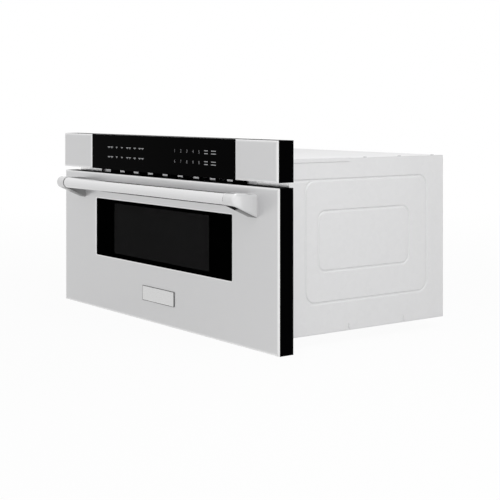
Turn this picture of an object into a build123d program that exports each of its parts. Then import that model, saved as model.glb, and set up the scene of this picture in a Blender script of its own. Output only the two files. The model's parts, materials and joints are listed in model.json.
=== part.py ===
"""Built-in microwave drawer.

Millimetres, +Z up, the front faces -Y. The pieces are worked out from the front face of the front
plate, where y is 0, and then moved back so that the origin is the middle of the cabinet's underside.
Every piece is a solid of its own. Each size that can be set by itself is named once below, and all
other places follow from these.
"""
from build123d import *
import math
import os

full_turn = 360.0

# ---- drawer tub: the open steel box that carries the food
tub_inner_width = 430.0
tub_depth = 348.0
tub_height = 173.0
tub_sheet = 1.2
tub_corner = 14.0
tub_bottom_round = 7.0
tub_rim = 3.0
tray_thickness = 4.0
tray_margin = 9.0
tray_corner = 10.0

# ---- running clearances
side_gap = 5.8          # tub to cavity wall
floor_gap = 5.0         # tub to cavity floor
roof_gap = 22.0         # tub rim to cavity roof, room for the stirrer cover
rear_gap = 7.0          # tub to cavity back
front_gap = 0.5         # closed door to front plate
fit_gap = 0.3           # a pane or an insert in its pocket
shaft_gap = 0.05        # a shaft in its bush, radially
slide_gap = 0.5         # between neighbouring slide members
reveal = 9.3            # between door and control panel

# ---- sheets
cavity_sheet = 1.0
cabinet_sheet = 1.0
plate_sheet = 1.2
bracket_sheet = 1.5
panel_sheet = 1.0       # inner panel of the door
duct_sheet = 1.0
skin_sheet = 1.5        # brushed steel skins of door and control panel

# ---- spaces around the cavity
floor_space = 24.0
top_bay = 89.3
rear_bay = 50.0
side_bay = 83.8
slide_offset = 33.0     # cavity wall to slide
plate_overhang = 13.0   # front plate past each side panel
front_overhang = 25.0   # door past each side panel
plate_drop = 4.0        # front plate below the top of the control panel

# ---- cabinet shell
flange_lip = 12.0
doubler_depth = 165.0
doubler_sheet = 1.2
doubler_skirt = 5.8
doubler_chamfer = 9.0
bead_width = 6.0
bead_floor = 2.0
bead_depth = 1.6
outer_bead_y = (49.0, 358.0)
outer_bead_z = (56.0, 279.0)
outer_bead_corner = 22.0
inner_bead_y = (80.0, 308.0)
inner_bead_z = (113.0, 222.0)
inner_bead_corner = 16.0
hook_tab_y = (155.0, 296.0)
hook_tab_width = 4.0
hook_tab_height = 9.0
hook_tab_rise = 3.0
hook_tab_proud = 1.4

# ---- door
door_thickness = 32.4
door_rim = 10.0
door_margin_low = 8.5
door_margin_high = 3.8
door_web = 6.5
skin_round = 1.0
choke_inset = 2.0
choke_width = 32.0
choke_cover_thickness = 2.5
window_width = 488.0
window_height = 122.8
window_rise = 114.4     # window above the door's lower edge
window_corner = 3.0
view_width = 340.0
view_height = 106.0
view_rise = 9.7         # clear area above the window's lower edge
glass_thickness = 4.0
glass_lap = 7.5
screen_sheet = 0.8
screen_lap = 4.0
screen_relief = 2.0     # panel and tub openings past the clear area
inner_glass_thickness = 3.0
badge_width = 114.0
badge_height = 30.0
badge_thickness = 1.6
badge_rise = 41.0
badge_rim = 1.6
badge_recess = 0.4
badge_corner = 1.5

# ---- handle
handle_radius = 11.6
handle_wall = 2.0
handle_span = 580.0     # between the two brackets
handle_seam = 2.0       # bar end to bracket, bridged by the spigot
handle_end_round = 1.5
handle_reach = 44.5     # bar axis in front of the door
handle_drop = 22.5      # bar axis below the door's upper edge
handle_bracket_width = 30.0
handle_bracket_proud = 0.8
handle_foot_low = 33.3
handle_foot_high = 9.7
handle_nose_round = 4.0
handle_inner_round = 0.8
spigot_length = 14.0
spigot_gap = 0.1
handle_screw_radius = 2.5
handle_screw_head = 4.5
handle_screw_head_height = 2.5
handle_screw_bite = 12.0
handle_screw_drop = (-2.0, 22.0)    # the two screws of a bracket, below the bar axis
screw_hole_gap = 0.2

# ---- control panel
fascia_height = 74.0
fascia_proud = 2.6      # control panel past the door's face
fascia_wall = 3.0
fascia_cap = 8.0
fascia_front_wall = 5.5
control_glass_width = 514.0
control_glass_thickness = 4.0
trim_lift = 1.8         # steel end panels above the glass's lower edge
display_width = 100.0
display_height = 31.0
board_sheet = 1.6
control_board_width = 440.0
control_board_height = 54.0
board_post_radius = 3.0
board_post_inset = 8.0
chip_size = 22.0
chip_height = 4.0
chip_count = 4
chip_pitch = 88.0

# ---- vent between door and control panel
vent_drop = 6.1         # vent centre below the control panel's lower edge
vent_height = 10.0
vent_half = 276.0
grille_half = 240.0
grille_front = 2.0
grille_thickness = 4.0
vent_pitch = 54.8
vent_tab_count = 8
vent_tab_width = 18.0
vent_tab_height = 4.0
vent_slot_width = 28.0
vent_slot_height = 5.0
duct_depth = 100.0

# ---- slides
slide_thickness = 12.7
slide_height = 45.0
slide_member_sheet = 1.5
slide_outer_lip = 6.35      # open edge of the outer member, from the slide's inner face
slide_middle_lip = 3.2      # open edge of the middle member
slide_centre = 82.5
slide_length = 340.0
slide_setback = 6.0
slide_foot_width = 30.0
slide_plate_gap = 2.0   # around the slide where it passes the front plate
bracket_margin = 14.0
bracket_foot = 26.0
bracket_top = 110.0
support_width = 30.0
support_centre = 170.0
drawer_travel = 330.0

# ---- rack, pinion and drive motor
gear_module = 1.5
pinion_teeth = 18
pressure_angle = 20.0
dedendum_ratio = 1.25
flank_steps = 4         # straight runs in a tooth's flank
gear_backlash = 0.12
rack_offset = 29.8      # rack's middle plane outside the slide bracket
rack_width = 8.0
rack_body = 10.0
rack_pitch_height = 38.0
rack_spare_teeth = 3
rack_foot = 24.0
rack_foot_sheet = 1.5
pinion_y = 30.0
pinion_width = 11.0
pinion_shaft_radius = 3.0
pinion_shaft_grip = 16.0
motor_size = 44.0
motor_length = 30.0
motor_round = 4.5
motor_boss_radius = 9.0
motor_boss_length = 4.0
motor_bracket_gap = 3.0
motor_bracket_depth = 54.0
guide_gap = 0.4
rack_slot_gap = 2.5

# ---- interlock
hook_offset = 39.8
hook_height = 200.0
hook_thickness = 2.0
hook_depth = 16.0
hook_reach = 24.0
hook_notch = 6.0
hook_foot = 22.0
hook_slot_gap = 2.0
switch_gap = 1.0
switch_thickness = 6.5
switch_height = 16.0
switch_length = 28.0
switch_pitch = 19.0
switch_count = 3
holder_thickness = 10.0
holder_height = 62.0
holder_length = 36.0

# ---- mounting screws through the front plate
mount_inset = 6.0
mount_low = 40.0
mount_high = 246.0
mount_hole_radius = 2.6

# ---- waveguide, magnetron and stirrer
guide_width = 94.0
guide_height = 42.0
guide_overhang = 27.0   # waveguide past the cavity wall
guide_end = 40.0
guide_y = 190.0
coupling_x = (-40.0, 30.0)
coupling_depth = 60.0
magnetron_flange = 4.0
magnetron_flange_round = 9.5
magnetron_length = 60.0
magnetron_width = 76.0
magnetron_height = 74.0
yoke_sheet = 2.0
fin_count = 7
fin_sheet = 1.2
fin_width = 56.0
anode_radius = 19.0
antenna_radius = 8.0
antenna_length = 26.0
antenna_gap = 2.0
filter_box_length = 18.0
filter_box_size = 50.0
stirrer_x = -5.0
stirrer_motor_radius = 22.0
stirrer_motor_height = 18.0
stirrer_ear_reach = 11.0    # fixing ear past the motor's side
stirrer_ear_width = 11.0
stirrer_ear_round = 4.0
stirrer_shaft_radius = 3.0
stirrer_shaft_grip = 10.0
stirrer_hub_radius = 8.0
stirrer_hub_height = 8.0
stirrer_hub_drop = 3.0
stirrer_blade_count = 4
stirrer_blade_length = 56.0
stirrer_blade_width = 18.0
stirrer_blade_sheet = 1.2
stirrer_blade_angle = 12.0
stirrer_cover_radius = 76.0
stirrer_cover_depth = 16.0
stirrer_cover_wall = 1.5

# ---- high-voltage supply in the left bay
core_stack = 40.0
core_length = 84.0
core_height = 70.0
core_leg = 14.0
core_window = 14.0
core_y = 235.0
coil_overhang = 9.0
coil_gap = 1.0
capacitor_width = 34.0
capacitor_length = 52.0
capacitor_height = 88.0
capacitor_y = 100.0
terminal_size = 6.0
terminal_spacing = 26.0
terminal_height = 9.0

# ---- cooling fan in the rear bay
fan_x = -150.0
fan_z = 150.0
fan_frame = 122.0
fan_frame_round = 8.5
fan_depth = 24.0
fan_bore = 56.5
fan_radius = 53.5
fan_hub_radius = 17.0
fan_blade_count = 7
fan_blade_width = 14.0
fan_blade_sheet = 1.6
fan_blade_angle = 35.0
fan_spider = 3.0
fan_arm = 6.0
fan_arm_count = 4
fan_hub_gap = 1.5
fan_motor_radius = 19.0
fan_motor_length = 17.0
fan_shaft_radius = 2.0
fan_shaft_grip = 13.0
louvre_height = 4.0
louvre_pitch = 10.0
outlet_x = 160.0
outlet_width = 150.0
outlet_rows = 8

# ---- cord inlet, boards, lamp
inlet_x = -290.0
inlet_z = 60.0
inlet_pocket = 50.0
inlet_pocket_depth = 12.0
gland_radius = 11.0
gland_bore = 5.0
gland_flange = 15.0
gland_flange_thickness = 3.0
gland_length = 16.0
power_board_x = (70.0, 210.0)
power_board_y = (255.0, 335.0)
filter_board_x = (-200.0, -110.0)
filter_board_y = (262.0, 335.0)
board_lift = 7.0
part_block = (26.0, 22.0, 24.0)     # the largest component on a supply board
relay_block = (18.0, 14.0, 15.0)
lamp_x = 120.0
lamp_y = 160.0
lamp_holder_length = 22.0
lamp_holder_size = 24.0
lamp_holder_round = 3.0
lamp_base_radius = 4.5
lamp_base_length = 6.0      # between bulb and holder
lamp_base_grip = 11.0       # inside the holder
bulb_radius = 9.0
bulb_length = 24.0
lamp_hole_rows = 4
lamp_hole_pitch = 5.0
lamp_hole_radius = 1.5

# ---- cabinet screws
screw_radius = 1.6
screw_head_radius = 3.6
screw_head_height = 1.6
screw_length = 7.0
rear_screw_margin = 20.0
rear_screw_count = 4
top_screw_y = (200.0, 290.0, 380.0)

# ---------------------------------------------------------------- places that follow
# across, from the middle outwards
tub_half = tub_inner_width / 2 + tub_sheet
mouth_half = tub_half + side_gap
cavity_half = mouth_half + cavity_sheet
slide_inner_face = cavity_half + slide_offset
slide_outer_face = slide_inner_face + slide_thickness
bay_inner = slide_outer_face + bracket_sheet
cabinet_inner = bay_inner + side_bay
cabinet_half = cabinet_inner + cabinet_sheet
plate_half = cabinet_half + plate_overhang
front_half = cabinet_half + front_overhang
bay_middle = (bay_inner + cabinet_inner) / 2

# front to back
door_rear = -front_gap
choke_face = door_rear - choke_cover_thickness
tub_front = choke_face
tub_back = tub_front + tub_depth
cavity_back_face = tub_back + rear_gap
cavity_rear = cavity_back_face + cavity_sheet
panel_front = cavity_rear + rear_bay
cabinet_back = panel_front + cabinet_sheet
door_front = -door_thickness
skin_rear = door_front + skin_sheet
web_rear = skin_rear + door_web
panel_rear = web_rear + panel_sheet
fascia_front = door_front - fascia_proud
trim_rear = fascia_front + skin_sheet
wall_rear = trim_rear + fascia_front_wall

# upwards
mouth_low = cabinet_sheet + floor_space + cavity_sheet
tub_low = mouth_low + floor_gap
tub_high = tub_low + tub_height
mouth_high = tub_high + roof_gap
roof_top = mouth_high + cavity_sheet
cover_low = roof_top + top_bay
cabinet_top = cover_low + cabinet_sheet

# choke around the mouth, and the door that carries it
choke_in_half = mouth_half - choke_inset
choke_in_z = (mouth_low + choke_inset, mouth_high - choke_inset)
choke_out_half = choke_in_half + choke_width
choke_out_z = (choke_in_z[0] - choke_width, choke_in_z[1] + choke_width)
pocket_half = front_half - door_rim
pocket_z = (choke_out_z[0] - door_margin_low, choke_out_z[1] + door_margin_high)
door_low = pocket_z[0] - door_rim
door_high = pocket_z[1] + door_rim
window_low = door_low + window_rise
window_z = (window_low, window_low + window_height)
view_z = (window_low + view_rise, window_low + view_rise + view_height)

# control panel
fascia_low = door_high + reveal
fascia_high = fascia_low + fascia_height
plate_top = fascia_high - plate_drop
vent_centre = fascia_low - vent_drop
vent_z = (vent_centre - vent_height / 2, vent_centre + vent_height / 2)

# handle
handle_y = door_front - handle_reach
handle_z = door_high - handle_drop
handle_half = handle_span / 2

# gearing
pinion_pitch_radius = gear_module * pinion_teeth / 2
pinion_z = rack_pitch_height - pinion_pitch_radius
tooth_pitch = math.pi * gear_module
addendum = gear_module
dedendum = dedendum_ratio * gear_module
rack_x = bay_inner + rack_offset
rack_root = rack_pitch_height + dedendum
rack_top = rack_root + rack_body
motor_bracket_x = rack_x + pinion_width / 2 + motor_bracket_gap
motor_face = motor_bracket_x + bracket_sheet

guide_z = (roof_top, roof_top + guide_height)
guide_left = -(cavity_half + guide_overhang)
guide_middle = (guide_z[0] + guide_z[1]) / 2
hook_x = bay_inner + hook_offset
mount_x = plate_half - mount_inset
screw_hole_radius = screw_radius + screw_hole_gap
rear_cut = (panel_front - screw_length, cabinet_back + screw_length)
far = 2 * (front_half + cabinet_back)     # longer than the object, for cuts that go right through


# ---------------------------------------------------------------- shapes used everywhere
def both(half):
    """The span from -half to half."""
    return (-half, half)


def around(centre, size):
    """The span of the given size about its centre."""
    return (centre - size / 2, centre + size / 2)


def grown(span, by):
    """A span made longer by the same amount at both ends."""
    return (span[0] - by, span[1] + by)


def block(x, y, z):
    """A box between its limits on each axis."""
    centre = [(low + high) / 2 for low, high in (x, y, z)]
    size = [high - low for low, high in (x, y, z)]
    return Pos(*centre) * Box(*size)


def slab(x, y, z, corner, axis=Axis.Y):
    """A box whose edges along one axis are rounded."""
    body = block(x, y, z)
    return fillet(body.edges().filter_by(axis), corner)


def rod_x(x, y, z, radius):
    """A cylinder along X between the limits in x."""
    return Pos((x[0] + x[1]) / 2, y, z) * Rot(0, 90, 0) * Cylinder(radius, x[1] - x[0])


def rod_y(x, y, z, radius):
    """A cylinder along Y between the limits in y."""
    return Pos(x, (y[0] + y[1]) / 2, z) * Rot(90, 0, 0) * Cylinder(radius, y[1] - y[0])


def rod_z(x, y, z, radius):
    """A cylinder along Z between the limits in z."""
    return Pos(x, y, (z[0] + z[1]) / 2) * Cylinder(radius, z[1] - z[0])


def other_side(part):
    """The same piece on the left side."""
    return mirror(part, about=Plane.YZ)


def group(solids):
    """Separate solids kept together as one piece."""
    return Compound(children=[solid.solid() for solid in solids])


def evenly(count, pitch):
    """Places of a row of equal steps about the middle."""
    return [(index - (count - 1) / 2) * pitch for index in range(count)]


def every_way(angle, count):
    """Evenly spaced angles in degrees, from the first one."""
    return [angle + full_turn * index / count for index in range(count)]


# ---------------------------------------------------------------- cabinet shell
def rear_screw_points():
    """Places of the screws that hold the rear panel, in x and z."""
    low = rear_screw_margin
    step = (cover_low - 2 * rear_screw_margin) / (rear_screw_count - 1)
    side = cabinet_half - flange_lip / 2
    return [(x, low + step * row) for x in (-side, side) for row in range(rear_screw_count)]


def top_screw_points():
    """Places of the screws that hold the top cover, in x and y."""
    side = cabinet_half - flange_lip / 2
    return [(x, y) for x in (-side, side) for y in top_screw_y]


def bead_profile(y, z, corner, face):
    """The groove of a pressed bead, cut inwards from a side panel's face at x = face."""
    plane = Plane(origin=(face, sum(y) / 2, sum(z) / 2), x_dir=(0, 1, 0), z_dir=(-1, 0, 0))
    length = y[1] - y[0]
    height = z[1] - z[0]
    half = bead_width / 2
    slope = math.degrees(math.atan((bead_width - bead_floor) / 2 / bead_depth))
    wide = plane * RectangleRounded(length + bead_width, height + bead_width, corner + half)
    narrow = plane * RectangleRounded(length - bead_width, height - bead_width, corner - half)
    return extrude(wide, bead_depth, taper=slope) - extrude(narrow, bead_depth, taper=-slope)


def bead_lead(face):
    """The straight stretch of bead that carries the outer one's top line to the front."""
    y = (plate_sheet, outer_bead_y[0] + outer_bead_corner)
    z = outer_bead_z[1]
    outline = Polyline((face, z - bead_width / 2), (face - bead_depth, z - bead_floor / 2),
                       (face - bead_depth, z + bead_floor / 2), (face, z + bead_width / 2), close=True)
    plane = Plane(origin=(0, y[0], 0), x_dir=(1, 0, 0), z_dir=(0, -1, 0))
    return extrude(plane * make_face(outline), -(y[1] - y[0]))


def beads(face):
    """All the pressed beads of the right side panel, as grooves from one of its faces."""
    outer = bead_profile(outer_bead_y, outer_bead_z, outer_bead_corner, face)
    inner = bead_profile(inner_bead_y, inner_bead_z, inner_bead_corner, face)
    return outer + inner + bead_lead(face)


def side_panel():
    """Right side panel: a sheet with lips at the top, bottom and rear, and pressed beads."""
    y = (plate_sheet, panel_front)
    z = (cabinet_sheet, cover_low)
    panel = block((cabinet_half - flange_lip, cabinet_half), y, z)
    hollow_y = (0, panel_front - cabinet_sheet)
    panel -= block((0, cabinet_inner), hollow_y, grown(z, -cabinet_sheet))
    panel += beads(cabinet_inner)
    panel -= beads(cabinet_half)
    for tab_y in hook_tab_y:
        tab_z = (cabinet_sheet + hook_tab_rise, cabinet_sheet + hook_tab_rise + hook_tab_height)
        tab = block((cabinet_half, cabinet_half + hook_tab_proud), around(tab_y, hook_tab_width), tab_z)
        panel += chamfer(tab.edges().filter_by(Axis.Z).sort_by(Axis.X)[2:], hook_tab_proud / 2)
    for x, screw_z in rear_screw_points()[rear_screw_count:]:
        panel -= rod_y(x, rear_cut, screw_z, screw_hole_radius)
    for x, screw_y in top_screw_points()[len(top_screw_y):]:
        panel -= rod_z(x, screw_y, (cover_low - screw_length, cover_low), screw_hole_radius)
    return panel


def base_pan():
    """Floor of the cabinet, with air slots under the left and right bays."""
    pan = block(both(cabinet_half), (plate_sheet, cabinet_back), (0, cabinet_sheet))
    for side in (-1, 1):
        for row in range(outlet_rows):
            y = panel_front - rear_bay - row * louvre_pitch
            slot = around(side * bay_middle, side_bay / 2)
            pan -= block(slot, around(y, louvre_height), grown((0, cabinet_sheet), cabinet_sheet))
    return pan


def fan_louvres():
    """Slots of the rear panel inside the fan's circle."""
    rows = int(fan_radius // louvre_pitch)
    slots = Part()
    for row in range(-rows, rows + 1):
        height = row * louvre_pitch
        half = math.sqrt(fan_radius ** 2 - height ** 2) - louvre_height
        z = around(fan_z + height, louvre_height)
        if half > louvre_height:
            slots += slab(around(fan_x, 2 * half), rear_cut, z, louvre_height / 2 - fit_gap)
    return slots


def rear_panel():
    """Rear sheet, with the fan's louvres, the air outlet and a sunk pocket for the cord inlet."""
    panel = block(both(cabinet_half), (panel_front, cabinet_back), (cabinet_sheet, cover_low))
    pocket_x = around(inlet_x, inlet_pocket)
    pocket_high = around(inlet_z, inlet_pocket)
    floor = cabinet_back - inlet_pocket_depth
    cup = block(grown(pocket_x, cabinet_sheet), (floor - cabinet_sheet, cabinet_back),
                grown(pocket_high, cabinet_sheet))
    panel += cup
    panel -= block(pocket_x, (floor, cabinet_back + cabinet_sheet), pocket_high)
    panel -= rod_y(inlet_x, (floor - rear_bay, cabinet_back), inlet_z, gland_radius + fit_gap)
    panel -= fan_louvres()
    for row in range(outlet_rows):
        z = fan_z + (row - outlet_rows / 2) * louvre_pitch
        panel -= slab(around(outlet_x, outlet_width), rear_cut, around(z, louvre_height),
                      louvre_height / 2 - fit_gap)
    for x, screw_z in rear_screw_points():
        panel -= rod_y(x, rear_cut, screw_z, screw_hole_radius)
    return panel


def top_cover():
    """Top sheet over the whole cabinet."""
    cover = block(both(cabinet_half), (plate_sheet, cabinet_back), (cover_low, cabinet_top))
    for x, y in top_screw_points():
        cover -= rod_z(x, y, grown((cover_low, cabinet_top), cabinet_sheet), screw_hole_radius)
    return cover


def top_doubler():
    """Second sheet over the front of the top, with skirts that lap the side panels."""
    half = cabinet_half + doubler_sheet
    doubler = block(both(half), (plate_sheet, doubler_depth),
                    (cabinet_top - doubler_skirt, cabinet_top + doubler_sheet))
    doubler -= block(both(cabinet_half), both(far), (cabinet_top - 2 * doubler_skirt, cabinet_top))
    corners = doubler.edges().filter_by(Axis.Z).group_by(Axis.Y)[-1].sort_by(Axis.X)
    return chamfer([corners[0], corners[-1]], doubler_chamfer)


def cabinet_screws():
    """The screws of the rear panel and the top cover, in one group."""
    screws = []
    for x, z in rear_screw_points():
        shank = rod_y(x, (cabinet_back - screw_length, cabinet_back), z, screw_radius)
        head = rod_y(x, (cabinet_back, cabinet_back + screw_head_height), z, screw_head_radius)
        screws.append(shank + head)
    for x, y in top_screw_points():
        shank = rod_z(x, y, (cabinet_top - screw_length, cabinet_top), screw_radius)
        head = rod_z(x, y, (cabinet_top, cabinet_top + screw_head_height), screw_head_radius)
        screws.append(shank + head)
    return group(screws)


def slide_slot():
    """Space that the right slide takes where it passes the front plate."""
    x = grown((slide_inner_face, slide_outer_face), slide_plate_gap)
    return block(x, both(far), around(slide_centre, slide_height + 2 * slide_plate_gap))


def hook_slot():
    """Space that the right latch hook takes where it passes the front plate."""
    x = around(hook_x, hook_thickness + 2 * hook_slot_gap)
    return block(x, both(far), around(hook_height, hook_depth + 2 * hook_slot_gap))


def front_plate():
    """Front plate: the sealing face around the mouth and the flange screwed to the kitchen cabinet."""
    plate = block(both(plate_half), (0, plate_sheet), (0, plate_top))
    plate -= block(both(mouth_half), both(far), (mouth_low, mouth_high))
    plate -= block(both(vent_half), both(far), vent_z)
    for slot in (slide_slot(), hook_slot()):
        plate -= slot
        plate -= other_side(slot)
    rack_x_span = around(rack_x, rack_width + 2 * rack_slot_gap)
    rack_z_span = grown((rack_pitch_height - addendum, rack_top), rack_slot_gap)
    plate -= block(rack_x_span, both(far), rack_z_span)
    for x in (-mount_x, mount_x):
        for z in (mount_low, mount_high):
            plate -= rod_y(x, both(far), z, mount_hole_radius)
    return plate


def vent_grille():
    """Black air grille between door and control panel, open at its slots and at the tabs."""
    y = (grille_front, grille_front + grille_thickness)
    grille = block(both(grille_half), y, grown(vent_z, -fit_gap))
    for centre in evenly(vent_tab_count, vent_pitch):
        window = around(centre, vent_tab_width + 2 * fit_gap)
        grille -= block(window, grown(y, cabinet_sheet), around(vent_centre, vent_tab_height + 2 * fit_gap))
    for centre in evenly(vent_tab_count - 1, vent_pitch):
        slot = around(centre, vent_slot_width)
        grille -= block(slot, grown(y, cabinet_sheet), around(vent_centre, vent_slot_height))
    return grille


def exhaust_duct():
    """Flat duct behind the vent, with a lip whose tabs come through the grille."""
    lip_y = (grille_front + grille_thickness, grille_front + grille_thickness + duct_sheet)
    outside = grown(vent_z, duct_sheet)
    duct = block(both(vent_half + duct_sheet), (plate_sheet, plate_sheet + duct_depth), outside)
    duct -= block(both(vent_half), (0, plate_sheet + duct_depth - duct_sheet), vent_z)
    duct += block(both(vent_half), lip_y, vent_z)
    for centre in evenly(vent_tab_count, vent_pitch):
        tab = around(centre, vent_tab_width)
        duct += block(tab, (grille_front, lip_y[0]), around(vent_centre, vent_tab_height))
    for centre in evenly(vent_tab_count - 1, vent_pitch):
        slot = around(centre, vent_slot_width)
        duct -= block(slot, grown(lip_y, duct_sheet / 2), around(vent_centre, vent_slot_height))
    return duct


# ---------------------------------------------------------------- cavity
def cavity_wrap():
    """Roof and side walls of the cavity in one bent sheet, with the coupling hole in the roof."""
    y = (plate_sheet, cavity_back_face)
    wrap = block(both(cavity_half), y, (mouth_low, roof_top))
    wrap -= block(both(mouth_half), grown(y, plate_sheet), (0, mouth_high))
    wrap -= block(coupling_x, around(guide_y, coupling_depth), (mouth_high - roof_gap, roof_top))
    for row in evenly(lamp_hole_rows, lamp_hole_pitch):
        for column in evenly(lamp_hole_rows, lamp_hole_pitch):
            x = lamp_x - bulb_length / 2 + row
            wrap -= rod_z(x, lamp_y + column, (mouth_high - roof_gap, roof_top), lamp_hole_radius)
    return wrap


def cavity_floor():
    """Floor sheet of the cavity."""
    z = (mouth_low - cavity_sheet, mouth_low)
    return block(both(cavity_half), (plate_sheet, cavity_back_face), z)


def cavity_back():
    """Rear sheet of the cavity."""
    z = (mouth_low - cavity_sheet, roof_top)
    return block(both(cavity_half), (cavity_back_face, cavity_rear), z)


def cavity_support():
    """Right hat rail that carries the cavity floor on the base pan."""
    z = (cabinet_sheet, mouth_low - cavity_sheet)
    rail = block(around(support_centre, support_width), (slide_setback, cavity_back_face), z)
    rail -= block(around(support_centre, support_width - 2 * bracket_sheet), both(far),
                  (0, z[1] - bracket_sheet))
    return rail


def waveguide():
    """Duct that takes the microwaves from the magnetron to the hole in the roof."""
    y = around(guide_y, guide_width)
    duct = block((guide_left, guide_end), y, guide_z)
    duct -= block(grown((guide_left, guide_end), -cavity_sheet), grown(y, -cavity_sheet),
                  grown(guide_z, -cavity_sheet))
    duct -= block(coupling_x, around(guide_y, coupling_depth), around(guide_z[0], 2 * cavity_sheet))
    shaft_hole = stirrer_shaft_radius + cavity_sheet
    duct -= rod_z(stirrer_x, guide_y, around(guide_z[1], 2 * cavity_sheet), shaft_hole)
    duct -= rod_x(around(guide_left, 2 * cavity_sheet), guide_y, guide_middle, antenna_radius + antenna_gap)
    return duct


def magnetron():
    """Magnetron: anode with its cooling fins, flange and antenna."""
    right = guide_left
    left = right - magnetron_flange - magnetron_length
    body = rod_x((left + yoke_sheet, right - magnetron_flange), guide_y, guide_middle, anode_radius)
    body += rod_x((right - magnetron_flange, right + antenna_length), guide_y, guide_middle, antenna_radius)
    flange = slab(around(0, magnetron_flange), around(guide_y, magnetron_width),
                  around(guide_middle, magnetron_height), magnetron_flange_round, Axis.X)
    body += Pos(right - magnetron_flange / 2, 0, 0) * flange
    room = magnetron_length - 2 * yoke_sheet
    for index in range(fin_count):
        x = left + yoke_sheet + room * (index + 1) / (fin_count + 1)
        body += block(around(x, fin_sheet), around(guide_y, fin_width), around(guide_middle, fin_width))
    return body


def magnetron_yoke():
    """Steel yoke around the magnetron, open front and rear for the air, with the filter box."""
    right = guide_left - magnetron_flange
    left = right - magnetron_length
    y = around(guide_y, magnetron_width)
    z = around(guide_middle, magnetron_height)
    yoke = block((left, right), y, z)
    yoke -= block((left + yoke_sheet, right - yoke_sheet), both(far), grown(z, -yoke_sheet))
    yoke -= rod_x((right - 2 * yoke_sheet, right), guide_y, guide_middle, anode_radius + fit_gap)
    box = around(guide_y, filter_box_size)
    yoke += block((left - filter_box_length, left), box, around(guide_middle, filter_box_size))
    return yoke


def stirrer_motor():
    """Small motor on the waveguide that turns the stirrer."""
    z = (guide_z[1], guide_z[1] + stirrer_motor_height)
    motor = rod_z(stirrer_x, guide_y, z, stirrer_motor_radius)
    motor = fillet(motor.edges().sort_by(Axis.Z)[-1], stirrer_cover_wall)
    ear_x = around(stirrer_x, 2 * (stirrer_motor_radius + stirrer_ear_reach))
    ear_z = (z[0], z[0] + bracket_sheet)
    motor += slab(ear_x, around(guide_y, stirrer_ear_width), ear_z, stirrer_ear_round, Axis.Z)
    bore = (z[0] - bracket_sheet, z[0] + stirrer_shaft_grip + shaft_gap)
    return motor - rod_z(stirrer_x, guide_y, bore, stirrer_shaft_radius + shaft_gap)


def stirrer_fan():
    """Stirrer: shaft, hub and four slightly pitched blades under the cavity roof."""
    top = mouth_high - stirrer_hub_drop
    hub_z = (top - stirrer_hub_height, top)
    fan = rod_z(stirrer_x, guide_y, (hub_z[0], guide_z[1] + stirrer_shaft_grip), stirrer_shaft_radius)
    fan += rod_z(stirrer_x, guide_y, hub_z, stirrer_hub_radius)
    for angle in every_way(0, stirrer_blade_count):
        reach = (stirrer_hub_radius - stirrer_shaft_radius, stirrer_hub_radius + stirrer_blade_length)
        blade = Rot(stirrer_blade_angle, 0, 0) * block(reach, around(0, stirrer_blade_width),
                                                       around(0, stirrer_blade_sheet))
        fan += Pos(stirrer_x, guide_y, sum(hub_z) / 2) * Rot(0, 0, angle) * blade
    return fan


def stirrer_cover():
    """Shallow plastic dish under the roof that keeps food off the stirrer."""
    z = (mouth_high - stirrer_cover_depth, mouth_high)
    dish = rod_z(stirrer_x, guide_y, z, stirrer_cover_radius)
    dish = fillet(dish.edges().sort_by(Axis.Z)[0], stirrer_cover_wall)
    inside = (z[0] + stirrer_cover_wall, z[1] + stirrer_cover_wall)
    return dish - rod_z(stirrer_x, guide_y, inside, stirrer_cover_radius - stirrer_cover_wall)


def lamp_base(gap):
    """The lamp's base, from the bulb into the holder, made wider all round by a gap."""
    x = (lamp_x - lamp_base_length, lamp_x + lamp_base_grip)
    return rod_x(x, lamp_y, roof_top + lamp_holder_size / 2, lamp_base_radius + gap)


def lamp_holder():
    """Holder of the oven lamp, on the cavity roof over a patch of small holes."""
    z = (roof_top, roof_top + lamp_holder_size)
    x = (lamp_x, lamp_x + lamp_holder_length)
    return slab(x, around(lamp_y, lamp_holder_size), z, lamp_holder_round, Axis.X) - lamp_base(shaft_gap)


def lamp_bulb():
    """Oven lamp bulb, with its base in the holder."""
    z = roof_top + lamp_holder_size / 2
    glass = rod_x((lamp_x - bulb_length, lamp_x - lamp_base_length), lamp_y, z, bulb_radius)
    return lamp_base(0) + fillet(glass.edges(), bulb_radius / 2)


# ---------------------------------------------------------------- electrical supply
def transformer_core():
    """Laminated core of the high-voltage transformer, with two windows for its coil."""
    z = (cabinet_sheet, cabinet_sheet + core_height)
    core = block(around(-bay_middle, core_stack), around(core_y, core_length), z)
    window_z = grown(z, -core_leg)
    reach = core_length / 2 - core_leg - core_window / 2
    for side in (-1, 1):
        core -= block(both(far), around(core_y + side * reach, core_window), window_z)
    return core


def transformer_coil():
    """Coil of the transformer around the middle leg of its core."""
    z = grown((cabinet_sheet + core_leg, cabinet_sheet + core_height - core_leg), -coil_gap)
    leg = core_length - 2 * core_leg - 2 * core_window
    outer_y = leg + 2 * (core_window - coil_gap)
    coil = slab(around(-bay_middle, core_stack + 2 * coil_overhang), around(core_y, outer_y), z,
                coil_overhang, Axis.Z)
    return coil - block(around(-bay_middle, core_stack), around(core_y, leg), grown(z, coil_gap))


def hv_capacitor():
    """Oval high-voltage capacitor with two terminals."""
    z = (cabinet_sheet, cabinet_sheet + capacitor_height)
    can = slab(around(-bay_middle, capacitor_width), around(capacitor_y, capacitor_length), z,
               capacitor_width / 2 - fit_gap, Axis.Z)
    for side in (-1, 1):
        y = capacitor_y + side * terminal_spacing / 2
        terminal_z = (z[1], z[1] + terminal_height)
        can += block(around(-bay_middle, terminal_size), around(y, terminal_size), terminal_z)
    return can


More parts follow.
